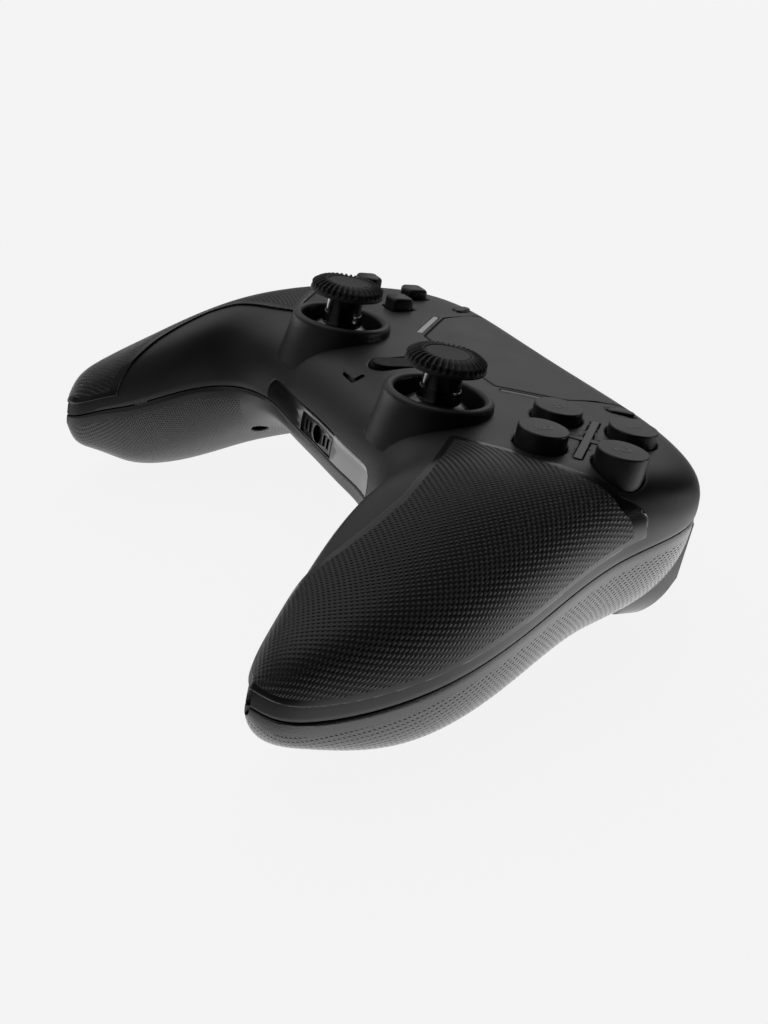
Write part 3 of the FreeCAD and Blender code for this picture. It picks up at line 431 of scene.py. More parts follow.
STICK_X = 25.1
WELL_RADIUS = 9.9
WELL_FLOOR = -3.4
WELL_ROOM = 11.9
TOWER_FOOT = -9.75
PAD_OUTLINE = ((-17, 19.5), (17, 19.5), (28.4, 31), (32, 46.5), (-32, 46.5), (-28.4, 31))
PAD_CORNER = 1.6
LIGHT_START = 1.6
LIGHT_GAP = 1.3
LIGHT_WIDTH = 1.5
LIGHT_CORNER = 0.6
DIAMOND = (48.4, 23.1)
DIAMOND_RADIUS = 11.7
BUTTON_HOLE = 5.75
INLAY_LENGTH = 21.5
INLAY_WIDTH = 1.8
INLAY_CORNER = 0.3
KEY_OFFSET = 8.8
KEY_HALF_WIDTH = 3.0
KEY_HALF_LENGTH = 3.5
KEY_CORNER = 1.5
KEY_GAP = 0.6
PILL_X = 36.2
PILL_Y = 41.0
PILL_TURN = 30
PILL_HOLE = (7.1, 3.3)
HOME_Y = 3.0
HOME_HOLE = (13.7, 7.1)
MUTE_Y = -7.8
MUTE_HOLE = (2.8, 6.1)
SOUND_HOLE = 0.5
SOUND_PITCH = 2.0
SOUND_Y = 12.4
EDGE_ROUNDING = 0.25


def rounded_polygon(corners, radius):
    # Replaces each corner by a short arc
    ring = [np.array(corner, float) for corner in corners]
    result = []
    for i, corner in enumerate(ring):
        before = ring[i - 1] - corner
        after = ring[(i + 1) % len(ring)] - corner
        a, b = before / np.linalg.norm(before), after / np.linalg.norm(after)
        half = math.acos(np.clip(a @ b, -1, 1)) / 2
        longest = min(np.linalg.norm(before), np.linalg.norm(after)) / 2.1
        reach = min(radius / math.tan(half), longest)
        start, end = corner + a * reach, corner + b * reach
        for share in np.linspace(0, 1, 6):
            result.append((1 - share) ** 2 * start + 2 * share * (1 - share) * corner + share ** 2 * end)
    return [tuple(point) for point in result]


def key_corners(step, grow):
    # Outline of one direction key: a block with its point towards the middle
    half = KEY_HALF_WIDTH + grow
    outer = KEY_OFFSET + KEY_HALF_LENGTH + grow
    tip = KEY_OFFSET - KEY_HALF_LENGTH - grow
    shoulder = tip + half / 2
    angle = math.radians(90 * step)
    spots = []
    for x, y in ((-half, shoulder), (0, tip), (half, shoulder), (half, outer), (-half, outer)):
        spots.append((x * math.cos(angle) - y * math.sin(angle) - DIAMOND[0],
                      x * math.sin(angle) + y * math.cos(angle) + DIAMOND[1]))
    return rounded_polygon(spots, KEY_CORNER)


def button_places():
    for step in range(4):
        angle = math.radians(90 - 90 * step)
        yield (DIAMOND[0] + DIAMOND_RADIUS * math.cos(angle),
               DIAMOND[1] + DIAMOND_RADIUS * math.sin(angle))


def light_corners(grow):
    # Outline of a light strip, beside the slanting side of the touch pad
    start, end = np.array(PAD_OUTLINE[1:3])
    along = (end - start) / np.linalg.norm(end - start)
    out = np.array([along[1], -along[0]])
    first = start + along * (LIGHT_START - grow) + out * (LIGHT_GAP - grow)
    last = end + along * grow + out * (LIGHT_GAP - grow)
    wide = out * (LIGHT_WIDTH + 2 * grow)
    return rounded_polygon([first, last, last + wide, first + wide], LIGHT_CORNER)


def cross_bar(turn, grow=0.0):
    return bar_outline(DIAMOND[0], DIAMOND[1], INLAY_LENGTH + 2 * grow, INLAY_WIDTH + 2 * grow, turn,
                       INLAY_CORNER)


def cross_outline(grow):
    one, two = cross_bar(45, grow), cross_bar(-45, grow)
    return lambda p: np.minimum(one(p), two(p))


def tower_profile():
    # Outer flank, rounded lip and well wall, as radius and height, from the foot up
    lip, middle, low = 1.15, 11.05, 1.1
    top, waist, foot = np.array([12.2, low]), np.array([12.2, -1.15]), np.array([14.4, TOWER_FOOT])
    flank = [tuple(top * (1 - share) ** 2 + waist * 2 * share * (1 - share) + foot * share ** 2)
             for share in np.linspace(1, 0, 14)]
    arc = [(middle + lip * math.cos(angle), low + lip * math.sin(angle))
           for angle in np.linspace(0, math.pi, 12)[1:]]
    return flank + arc + [(WELL_RADIUS, -1.0), (WELL_RADIUS, WELL_FLOOR)]


def lathe(name, profile, centre, segments=144, close=False):
    # Spins a profile of radius and height round an upright axis
    mesh = bmesh.new()
    rings = []
    for radius, height in profile:
        if radius < 1e-6:
            rings.append([mesh.verts.new((centre[0], centre[1], centre[2] + height))])
            continue
        ring = []
        for step in range(segments):
            angle = 2 * math.pi * step / segments
            ring.append(mesh.verts.new((centre[0] + radius * math.cos(angle),
                                        centre[1] + radius * math.sin(angle), centre[2] + height)))
        rings.append(ring)
    pairs = list(zip(rings, rings[1:]))
    if close:
        pairs.append((rings[-1], rings[0]))
    for low, high in pairs:
        for step in range(segments):
            after = (step + 1) % segments
            corners = []
            for ring, spot in ((low, step), (low, after), (high, after), (high, step)):
                vertex = ring[spot % len(ring)]
                if vertex not in corners:
                    corners.append(vertex)
            if len(corners) > 2:
                mesh.faces.new(corners)
    bmesh.ops.recalc_face_normals(mesh, faces=mesh.faces)
    data = bpy.data.meshes.new(name)
    mesh.to_mesh(data)
    mesh.free()
    piece = bpy.data.objects.new(name, data)
    bpy.context.scene.collection.objects.link(piece)
    return piece


def sink_into(piece, other, operation):
    finish_with(piece, "BOOLEAN", operation=operation, object=other, solver="EXACT")
    bpy.data.objects.remove(other)


def build_top_shell():
    piece = skin("top_cover", dome_points(1, 0, 200, 90, edge=EDGE_ROUNDING))
    for x, y in button_places():
        trim(piece, disc(x, y, BUTTON_HOLE), rounding=0.35)
    for step in range(4):
        trim(piece, polygon_outline(key_corners(step, KEY_GAP)), rounding=0.35)
    trim(piece, polygon_outline(rounded_polygon(PAD_OUTLINE, PAD_CORNER), grow=0.3), rounding=0.3)
    for side in (-1, 1):
        corners = [(side * x, y) for x, y in light_corners(0.1)]
        trim(piece, polygon_outline(corners), rounding=0.2)
        pill = bar_outline(side * PILL_X, PILL_Y, *PILL_HOLE, side * PILL_TURN, corner=1.6)
        trim(piece, pill, rounding=0.3)
    trim(piece, cross_outline(0.25), rounding=0.2)
    trim(piece, bar_outline(0, HOME_Y, *HOME_HOLE, turn=0, corner=3.5), rounding=0.4)
    trim(piece, bar_outline(0, MUTE_Y, *MUTE_HOLE, turn=0, corner=0.7), rounding=0.2)
    for row in range(2):
        for column in range(7):
            spot = ((column - 3) * SOUND_PITCH, SOUND_Y + SOUND_PITCH * row)
            trim(piece, disc(*spot, SOUND_HOLE), band=1.2)
    trim(piece, front_window(0.12), rounding=0.25)
    for side in (-1, 1):
        trim(piece, bumper_window(side), rounding=0.3)
    drop_islands(piece)
    thicken(piece, SHELL_WALL)
    for side in (-1, 1):
        ring = [(13.4, TOWER_FOOT)] + tower_profile() + [(11.6, WELL_FLOOR), (12.4, TOWER_FOOT)]
        tower = lathe("tower", ring, (side * STICK_X, 0, 0), close=True)
        room = [(0, -9), (WELL_ROOM, -9), (WELL_ROOM, 1.5), (0, 1.5)]
        inside = lathe("well", room, (side * STICK_X, 0, 0))
        sink_into(piece, inside, "DIFFERENCE")
        sink_into(piece, tower, "UNION")
    return piece


def node_group(name, inputs, outputs):
    group = bpy.data.node_groups.new(name, "ShaderNodeTree")
    for label, kind, value in inputs:
        socket = group.interface.new_socket(label, in_out="INPUT", socket_type=kind)
        if value is not None:
            socket.default_value = value
    for label, kind in outputs:
        group.interface.new_socket(label, in_out="OUTPUT", socket_type=kind)
    return group, group.nodes.new("NodeGroupInput"), group.nodes.new("NodeGroupOutput")


def math_node(tree, operation, first, second=None, third=None):
    node = tree.nodes.new("ShaderNodeMath")
    node.operation = operation
    for socket, value in zip(node.inputs, (first, second, third)):
        if value is None:
            continue
        if isinstance(value, (int, float)):
            socket.default_value = value
        else:
            tree.links.new(value, socket)
    return node.outputs[0]


def noise(tree, vector, scale, detail=3.0):
    node = tree.nodes.new("ShaderNodeTexNoise")
    node.inputs["Detail"].default_value = detail
    tree.links.new(vector, node.inputs["Vector"])
    if isinstance(scale, (int, float)):
        node.inputs["Scale"].default_value = scale
    else:
        tree.links.new(scale, node.inputs["Scale"])
    return node.outputs[0]


def build_grain():
    group, given, result = node_group(
        "moulded_grain",
        (("Vector", "NodeSocketVector", None), ("Scale", "NodeSocketFloat", 2500.0),
         ("Depth", "NodeSocketFloat", 1.0), ("Roughness", "NodeSocketFloat", 0.5),
         ("Spread", "NodeSocketFloat", 0.1)),
        (("Height", "NodeSocketFloat"), ("Roughness", "NodeSocketFloat")))
    fine = noise(group, given.outputs["Vector"], given.outputs["Scale"])
    group.links.new(math_node(group, "MULTIPLY", fine, given.outputs["Depth"]), result.inputs["Height"])
    broad = math_node(group, "SUBTRACT", noise(group, given.outputs["Vector"], 90.0), 0.5)
    broad = math_node(group, "MULTIPLY_ADD", broad, given.outputs["Spread"], given.outputs["Roughness"])
    group.links.new(broad, result.inputs["Roughness"])
    return group


def build_handling():
    group, given, result = node_group(
        "handled_surface",
        (("Vector", "NodeSocketVector", None), ("Color", "NodeSocketColor", (0.02, 0.02, 0.02, 1)),
         ("Worn", "NodeSocketColor", (0.06, 0.06, 0.06, 1)), ("Wear", "NodeSocketFloat", 0.3),
         ("Dust", "NodeSocketFloat", 0.05)),
        (("Color", "NodeSocketColor"),))
    geometry = group.nodes.new("ShaderNodeNewGeometry")
    edge = math_node(group, "SUBTRACT", geometry.outputs["Pointiness"], 0.52)
    edge = math_node(group, "MULTIPLY", edge, 9.0)
    edge = math_node(group, "MAXIMUM", math_node(group, "MINIMUM", edge, 1.0), 0.0)
    edge = math_node(group, "MULTIPLY", edge, given.outputs["Wear"])
    speck = math_node(group, "GREATER_THAN", noise(group, given.outputs["Vector"], 1400.0, 1.0), 0.74)
    speck = math_node(group, "MULTIPLY", speck, given.outputs["Dust"])
    share = math_node(group, "ADD", edge, speck)
    mix = group.nodes.new("ShaderNodeMix")
    mix.data_type = "RGBA"
    group.links.new(share, mix.inputs[0])
    group.links.new(given.outputs["Color"], mix.inputs[6])
    group.links.new(given.outputs["Worn"], mix.inputs[7])
    group.links.new(mix.outputs[2], result.inputs["Color"])
    return group


GRAIN = build_grain()
HANDLING = build_handling()


def finish_material(name, color, roughness, grain=2500.0, depth=0.3, spread=0.1, metallic=0.0,
                    wear=0.2, dust=0.03, specular=0.5):
    # Plastic, rubber or metal with its grain, its wear and a little dust
    material = bpy.data.materials.new(name)
    material.use_nodes = True
    tree = material.node_tree
    shader = tree.nodes["Principled BSDF"]
    place = tree.nodes.new("ShaderNodeTexCoord").outputs["Object"]
    texture = tree.nodes.new("ShaderNodeGroup")
    texture.node_tree = GRAIN
    texture.inputs["Scale"].default_value = grain
    texture.inputs["Depth"].default_value = depth
    texture.inputs["Roughness"].default_value = roughness
    texture.inputs["Spread"].default_value = spread
    handled = tree.nodes.new("ShaderNodeGroup")
    handled.node_tree = HANDLING
    handled.inputs["Color"].default_value = (*color, 1)
    handled.inputs["Worn"].default_value = (*[min(1, value * 2.5 + 0.02) for value in color], 1)
    handled.inputs["Wear"].default_value = wear
    handled.inputs["Dust"].default_value = dust
    bump = tree.nodes.new("ShaderNodeBump")
    bump.name = "relief"
    bump.inputs["Strength"].default_value = 1.0
    bump.inputs["Distance"].default_value = 0.00006
    for socket in (texture.inputs["Vector"], handled.inputs["Vector"]):
        tree.links.new(place, socket)
    tree.links.new(texture.outputs["Height"], bump.inputs["Height"])
    tree.links.new(texture.outputs["Roughness"], shader.inputs["Roughness"])
    tree.links.new(handled.outputs["Color"], shader.inputs["Base Color"])
    tree.links.new(bump.outputs["Normal"], shader.inputs["Normal"])
    shader.inputs["Metallic"].default_value = metallic
    shader.inputs["Specular IOR Level"].default_value = specular
    return material


def paint(material, *names):
    for name in names:
        data = bpy.data.objects[name].data
        data.materials.clear()
        data.materials.append(material)


matte = finish_material("moulded_black", (0.012, 0.012, 0.013), 0.46, grain=2600.0, depth=0.35)
top_cover = build_top_shell()
lay_down(top_cover)
smooth_faces(top_cover)
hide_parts("top_shell")
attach(top_cover, "housing")
paint(matte, "top_cover")


# Bottom shell: the belly of the pad, moulded in the same black plastic with a fine
# spark-eroded grain. It has a bay for each trigger, the slot of the charging port and the
# sunk holes of the four screws that hold the two shells together.

TRIGGER_X = 53
BAY_HALF_WIDTH = 10
BAY_FRONT = 27
BAY_TOP = -12.65
FAR = 60
SCREW_PLACES = ((41.0, -10.0), (67.0, 4.0))
SCREW_HOLE = 2.2
PORT_OPENING = ((-4.7, 40, -19.1), (4.7, 60, -15.5))
SMOOTH_BAND = 3.2
GRAIN_START = 38
BEAD_PITCH = 0.62


def surface_travel(piece, points):
    # Keeps how far each place of a grid lies along it and across it, for even rows of beads
    for label, axis in (("run", 0), ("reach", 1)):
        steps = np.linalg.norm(np.diff(points, axis=axis), axis=2)
        travel = np.cumsum(np.insert(steps, 0, 0, axis=axis), axis=axis)
        travel -= np.take(travel, [travel.shape[axis] // 2], axis=axis)
        if axis == 0:
            travel = np.repeat(travel.mean(axis=1)[:, None], points.shape[1], axis=1)
        field = piece.data.attributes.new(label, "FLOAT", "POINT")
        field.data.foreach_set("value", travel.T.ravel())


def keep_rim(piece, values):
    # Keeps how far each place lies inside its smooth border
    field = piece.data.attributes.new("rim", "FLOAT", "POINT")
    field.data.foreach_set("value", np.clip(values, -5, 20))


def parting_height(p):
    # Height of the parting line beside places of a grip
    lines = dome_points(1, 0, 400, 9)[220:, [0, -1]]
    inner, outer = lines[::-1, 0], lines[::-1, 1]
    x, y = np.abs(p[:, 0]), p[:, 1]
    inner_x = np.interp(y, inner[:, 1], inner[:, 0])
    outer_x = np.interp(y, outer[:, 1], outer[:, 0])
    return np.where(2 * x > inner_x + outer_x, np.interp(y, outer[:, 1], outer[:, 2]),
                    np.interp(y, inner[:, 1], inner[:, 2]))


def build_bottom_shell():
    points = dome_points(-1, 0, 260, 110, edge=EDGE_ROUNDING)[:, ::-1]
    piece = skin("bottom_cover", points)
    surface_travel(piece, points)
    places = corner_values(piece, "co", 3)
    below = parting_height(places) - places[:, 2] - SMOOTH_BAND
    keep_rim(piece, np.minimum(below, np.abs(places[:, 0]) - GRAIN_START))
    for side in (-1, 1):
        low, high = side * TRIGGER_X - BAY_HALF_WIDTH, side * TRIGGER_X + BAY_HALF_WIDTH
        trim(piece, box_outline((low, BAY_FRONT, -FAR), (high, FAR, BAY_TOP)), rounding=0.4)
        for x, y in SCREW_PLACES:
            trim(piece, disc(side * x, y, SCREW_HOLE), rounding=0.3, band=1.2)
    trim(piece, box_outline(*PORT_OPENING), rounding=0.3, band=1.0)
    drop_islands(piece)
    thicken(piece, SHELL_WALL)
    return piece


def settle(piece, body, slot, *nodes, angle=35):
    # Lays a piece down, lets it ride on its body and stand for its solids
    lay_down(piece)
    smooth_faces(piece, angle)
    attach(piece, body)
    if nodes:
        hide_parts(*nodes)


def beaded_material(name, color, roughness, border_roughness, border, pitch, bead_height, **settings):
    # Even rows of small beads inside a smooth border
    material = finish_material(name, color, roughness, **settings)
    tree = material.node_tree
    shader = tree.nodes["Principled BSDF"]
    rim = tree.nodes.new("ShaderNodeAttribute")
    rim.attribute_name = "rim"
    inner = math_node(tree, "GREATER_THAN", rim.outputs["Fac"], border)
    waves = []
    for label in ("run", "reach"):
        travel = tree.nodes.new("ShaderNodeAttribute")
        travel.attribute_name = label
        turns = math_node(tree, "MULTIPLY", travel.outputs["Fac"], math.pi / pitch)
        waves.append(math_node(tree, "SINE", turns))
    bead = math_node(tree, "MAXIMUM", math_node(tree, "MULTIPLY", waves[0], waves[1]), 0.0)
    height = math_node(tree, "MULTIPLY", math_node(tree, "POWER", bead, 0.7), inner)
    bump = tree.nodes.new("ShaderNodeBump")
    bump.inputs["Distance"].default_value = bead_height
    tree.links.new(height, bump.inputs["Height"])
    tree.links.new(tree.nodes["relief"].outputs["Normal"], bump.inputs["Normal"])
    tree.links.new(bump.outputs["Normal"], shader.inputs["Normal"])
    change = math_node(tree, "MULTIPLY_ADD", inner, roughness - border_roughness, border_roughness)
    tree.links.new(change, shader.inputs["Roughness"])
    return material


coarse = beaded_material("grained_black", (0.022, 0.022, 0.023), 0.34, 0.36, 0.0, BEAD_PITCH, 0.0002,
                         grain=2000.0, depth=0.8, specular=0.9)
settle(build_bottom_shell(), "housing", "matte_black", "bottom_shell")
paint(coarse, "bottom_cover")


# Grip film: a thin skin of soft black rubber with rows of fine beads and a smooth glossy
# border, glued on each grip. Its lower edge follows the parting line.

FILM_OUTLINE = (
    (0.5, -0.094), (0.539, -0.057), (0.609, 0.032), (0.689, 0.141), (0.754, 0.238),
    (0.79, 0.315), (0.835, 0.394), (0.851, 0.503), (0.855, 0.545), (1.12, 0.545),
    (1.12, -1.15), (0.725, -1.15), (0.71, -0.85), (0.7125, -0.74), (0.7175, -0.65),
    (0.711, -0.548), (0.69, -0.426), (0.646, -0.319), (0.5875, -0.219), (0.53, -0.135),
)
FILM_BORDER = 1.5
FILM_RISE = 3.6
FILM_THICKNESS = 0.35


def film_outline(side):
    # Distance to the edge of the film: its plan and a line above the parting line
    corners = [(x * HALF_WIDTH, y * (REAR_REACH if y > 0 else FRONT_REACH)) for x, y in FILM_OUTLINE]
    plan = polygon_outline(rounded_polygon(corners, 1.2))

    def distance(p):
        spots = p * np.array([side, 1, 1])
        return np.maximum(plan(spots), parting_height(spots) + FILM_RISE - spots[:, 2])
    return distance


def patch(name, distance, grow=0.0, along=500, across=220, rounding=0.3, cuts=1):
    # A piece of the crown inside an outline
    points = dome_points(1, grow, along, across)
    near = distance(points.reshape(-1, 3)).reshape(points.shape[:2]) < 1.5
    columns, lines = np.flatnonzero(near.any(axis=1)), np.flatnonzero(near.any(axis=0))
    points = points[columns[0]:columns[-1] + 1, lines[0]:lines[-1] + 1]
    piece = skin(name, points)
    surface_travel(piece, points)
    trim(piece, distance, keep=-1, cuts=cuts, rounding=rounding)
    drop_islands(piece)
    return piece


def build_film(side, label):
    distance = film_outline(side)
    piece = patch("film_" + label, distance, grow=0.5, along=420, across=180, rounding=0.2)
    keep_rim(piece, -distance(corner_values(piece, "co", 3)))
    thicken(piece, FILM_THICKNESS)
    settle(piece, "housing", "film", "grip_film_" + label)


film = beaded_material("grip_rubber", (0.011, 0.011, 0.012), 0.42, 0.22, FILM_BORDER, BEAD_PITCH, 0.00025,
                       grain=4000.0, depth=0.1, wear=0.0)
for side, label in ((-1, "left"), (1, "right")):
    build_film(side, label)
paint(film, "film_left", "film_right")


# Touch pad: a matt plate of moulded black plastic that follows the crown, hinged at its rear edge. A milky
# light strip is set into the shell along each of its slanting sides; the right one is coloured dark as
# painted shade.

PAD_THICKNESS = 1.5
STRIP_THICKNESS = 1.2

milky = finish_material("milky_window", (0.62, 0.64, 0.66), 0.35, depth=0.05, wear=0.0, dust=0.0)
# Painted shade: the right strip is the same milky window, coloured dark
painted_shade_window = finish_material("window_in_painted_shade", (0.02, 0.02, 0.021), 0.3, depth=0.05, wear=0.0, dust=0.0)
plate = polygon_outline(rounded_polygon(PAD_OUTLINE, PAD_CORNER))
touch_surface = patch("touch_surface", plate, rounding=0.3)
thicken(touch_surface, PAD_THICKNESS)
settle(touch_surface, "touch_pad", "matte_black", "touch_pad")
paint(matte, "touch_surface")
for side, label in ((-1, "left"), (1, "right")):
    corners = [(side * x, y) for x, y in light_corners(0)]
    strip = patch("strip_" + label, polygon_outline(corners), grow=-0.05, rounding=0.15, cuts=2)
    thicken(strip, STRIP_THICKNESS)
    settle(strip, "housing", "white_window", "light_strip_" + label)
paint(milky, "strip_left")
paint(painted_shade_window, "strip_right")


# Button inlay: two thin bars that cross between the face buttons, one piece of smoked clear plastic set
# into the shell. One bar keeps the inlay's smoked grey; the other is coloured matte black as painted shade.

LIT_TURN = -45

clear = finish_material("smoked_inlay", (0.05, 0.051, 0.053), 0.35, depth=0.05, wear=0.0, specular=0.3)
for name, turn, grow in (("lit_bar", LIT_TURN, 0.14), ("painted_shade_bar", -LIT_TURN, 0.06)):
    bar = patch(name, cross_bar(turn), grow=grow, rounding=0.12, cuts=3)
    thicken(bar, STRIP_THICKNESS)
    settle(bar, "housing", "clear_grey", "button_inlay")
paint(clear, "lit_bar")
# Painted shade: the second bar of the inlay takes the matte black
paint(matte, "painted_shade_bar")


# Thumbsticks: a rubber cap with a ribbed rim round a smooth shallow disc, pressed on a polished black post
# that ends in a glossy dome under the well. The dome is coloured a paler grey than the post, a painted
# sheen.

PIVOT_Z = -9.5
RIB_COUNT = 36
RIB_DEPTH = 0.6


def arc(radius, start, end, count, middle=(0, 0)):
    turns = np.radians(np.linspace(start, end, count))
    return [(middle[0] + radius * math.sin(turn), middle[1] + radius * math.cos(turn)) for turn in turns]


def build_cap(name, centre):
    profile = [(0, 10.62), (2.0, 10.65), (3.6, 10.75), (4.5, 10.9), (4.75, 10.9), (4.9, 10.7),
               (5.05, 10.68), (5.2, 10.9)]
    profile += [(5.45 + 2.75 * share, 11.1 + 0.2 * math.sin(math.pi * share) - 0.75 * share ** 2.2)
                for share in np.linspace(0, 1, 12)]
    profile += [(radius + 8.05, height + 9.65) for radius, height in arc(0.72, 25, 100, 8)]
    profile += [(8.7, 9.1), (8.72, 8.85), (8.88, 8.65), (8.9, 8.4), (8.86, 8.15), (8.6, 7.9),
                (7.6, 7.55), (5.2, 7.45), (0, 7.45)]
    piece = lathe(name, profile, (centre, 0, 0), segments=360)
    points = corner_values(piece, "co", 3)
    normals = corner_values(piece, "normal", 3)
    radius = np.hypot(points[:, 0] - centre, points[:, 1])
    turn = np.arctan2(points[:, 1], points[:, 0] - centre)
    valley = (0.5 - 0.5 * np.cos(RIB_COUNT * turn)) ** 1.4
    band = np.clip((radius - 5.3) / 0.7, 0, 1) * np.clip((points[:, 2] - 8.8) / 0.4, 0, 1)
    points -= normals * (RIB_DEPTH * valley * band)[:, None]
    piece.data.vertices.foreach_set("co", points.ravel())
    piece.data.update()
    return piece


def build_shaft(name, centre):
    profile = [(0, 7.5), (4.3, 7.5), (4.3, 3.4), (4.36, 3.2), (4.55, 3.1), (4.6, 2.9), (4.6, 1.2),
               (4.9, 0.7)]
    return lathe(name, profile, (centre, 0, 0), segments=128)


def build_dome(name, centre):
    # Its sphere is centred on the pivot of the stick
    profile = [(radius, height + PIVOT_Z) for radius, height in arc(11.1, 20, 70, 26)]
    profile += [(radius, height + PIVOT_Z) for radius, height in arc(10.4, 70, 20, 12)]
    return lathe(name, profile, (centre, 0, 0), segments=128, close=True)


rubber = finish_material("cap_rubber", (0.009, 0.009, 0.01), 0.6, grain=2400.0, depth=0.5, dust=0.06)
gloss = finish_material("polished_black", (0.006, 0.006, 0.007), 0.16, grain=3000.0, depth=0.05)
# Painted sheen: the dome is a paler grey than its black post, for the gloss it shows
dome = finish_material("dome_painted_sheen", (0.03, 0.03, 0.031), 0.24, depth=0.05, wear=0.0, specular=0.9)
for side, label in ((-1, "left"), (1, "right")):
    body = "stick_" + label
    settle(build_cap("cap_" + label, side * STICK_X), body, "stick_rubber", "stick_cap_" + label, angle=50)
    settle(build_shaft("shaft_" + label, side * STICK_X), body, "gloss_black", "stick_post_" + label)
    settle(build_dome("dome_" + label, side * STICK_X), body, "gloss_black", "stick_post_" + label)
paint(rubber, "cap_left", "cap_right")
paint(gloss, "shaft_left", "shaft_right")
paint(dome, "dome_left", "dome_right")


# Face buttons: four round keys of satin black plastic with flat tops and a plain number
# sunk in each, guided in round holes of the top shell.

NUMBER_SIZE = 6.0
NUMBER_Z = 3.64


def build_button(name, x, y):
    profile = [(0, 3.62), (4.3, 3.66), (4.8, 3.7), (5.0, 3.7)]
    profile += arc(0.4, 0, 90, 6, (5.0, 3.3)) + [(5.4, -6.0), (0, -6.0)]
    return lathe(name, profile, (x, y, 0), segments=96)


def build_number(name, words, x, y):
    bpy.ops.object.select_all(action="DESELECT")
    bpy.ops.object.text_add()
    piece = bpy.context.active_object
    piece.data.body = words
    piece.data.align_x = "CENTER"
    piece.data.align_y = "CENTER"
    piece.data.size = NUMBER_SIZE
    piece.data.extrude = 0.04
    bpy.ops.object.convert(target="MESH")
    piece.name = name
    piece.data.name = name
    points = corner_values(piece, "co", 3)
    middle = (points.min(axis=0) + points.max(axis=0)) / 2
    piece.data.vertices.foreach_set("co", (points - middle + np.array([x, y, NUMBER_Z])).ravel())
    return piece


satin = finish_material("satin_black", (0.008, 0.008, 0.009), 0.44, grain=3200.0, depth=0.25)
marks = finish_material("sunk_numbers", (0.045, 0.046, 0.048), 0.4, depth=0.1, wear=0.0)
for number, (x, y) in enumerate(button_places(), 1):
    body = "face_button_%d" % number
    settle(build_button("round_key_%d" % number, x, y), body, "key_plastic", body)
    settle(build_number("number_%d" % number, str(number), x, y), body, "clear_grey")
    paint(satin, "round_key_%d" % number)
    paint(marks, "number_%d" % number)


# Direction keys: four pointed keys in satin black plastic, each with a softly domed
# top. They stand on one plate, which tips on a steel ball.

KEY_FOOT = -3.2
KEY_TOP = 4.1
KEY_BEVEL = 1.1
KEY_CROWN = 0.3


def capped_block(name, ring, low, high, bevel, crown=0.0):
    # A block over a closed outline with a rounded upper edge and a domed or dished top
    ring = np.array(ring)
    middle = ring.mean(axis=0)
    inward = middle - ring
    reach = np.linalg.norm(inward, axis=1, keepdims=True)
    levels = [(ring, low), (ring, high - bevel)]
    for turn in np.radians(np.linspace(0, 90, 7)[1:]):
        levels.append((ring + inward / reach * bevel * (1 - math.cos(turn)),
                       high - bevel + bevel * math.sin(turn)))
    edge = levels[-1][0]
    for share in np.linspace(0, 1, 8)[1:-1]:
        levels.append((edge + (middle - edge) * share, high + crown * (1 - (1 - share) ** 2)))
    mesh = bmesh.new()
    rings = [[mesh.verts.new((x, y, height)) for x, y in line] for line, height in levels]
    top = mesh.verts.new((middle[0], middle[1], high + crown))
    count = len(ring)
    for lower, upper in zip(rings, rings[1:]):
        for i in range(count):
            mesh.faces.new((lower[i], lower[(i + 1) % count], upper[(i + 1) % count], upper[i]))
    for i in range(count):
        mesh.faces.new((rings[-1][i], rings[-1][(i + 1) % count], top))
    mesh.faces.new(rings[0][::-1])
    bmesh.ops.recalc_face_normals(mesh, faces=mesh.faces)
    data = bpy.data.meshes.new(name)
    mesh.to_mesh(data)
    mesh.free()
    piece = bpy.data.objects.new(name, data)
    bpy.context.scene.collection.objects.link(piece)
    return piece


def joined(pieces, name):
    bpy.ops.object.select_all(action="DESELECT")
    for piece in pieces:
        piece.select_set(True)
    bpy.context.view_layer.objects.active = pieces[0]
    bpy.ops.object.join()
    pieces[0].name = name
    pieces[0].data.name = name
    return pieces[0]


keys = [capped_block("key", key_corners(step, 0), KEY_FOOT, KEY_TOP, KEY_BEVEL, KEY_CROWN)
        for step in range(4)]
settle(joined(keys, "direction_pad"), "direction_keys", "key_plastic", "direction_keys", angle=60)
paint(satin, "direction_pad")


# Small buttons: a pill beside each end of the touch pad, the oval home button between
# the sticks and the short mute bar in front of it, all moulded in black plastic. Each
# slides in its own hole of the shell.

PILL_SIZE = (6.4, 2.6)
HOME_SIZE = (13.0, 6.4)
MUTE_SIZE = (2.3, 5.6)
MUTE_HEIGHT = 3.0


def oval(x, y, length, width, turn, corner, count=8):
    # Points round a bar with rounded corners, its length turned from the Y axis
    points = []
    for quarter, (u, v) in enumerate(((1, 1), (-1, 1), (-1, -1), (1, -1))):
        for angle in np.radians(np.linspace(90 * quarter, 90 * quarter + 90, count)):
            points.append((u * (width / 2 - corner) + corner * math.cos(angle),
                           v * (length / 2 - corner) + corner * math.sin(angle)))
    turn = math.radians(turn)
    return [(x + u * math.cos(turn) + v * math.sin(turn), y - u * math.sin(turn) + v * math.cos(turn))
            for u, v in points]


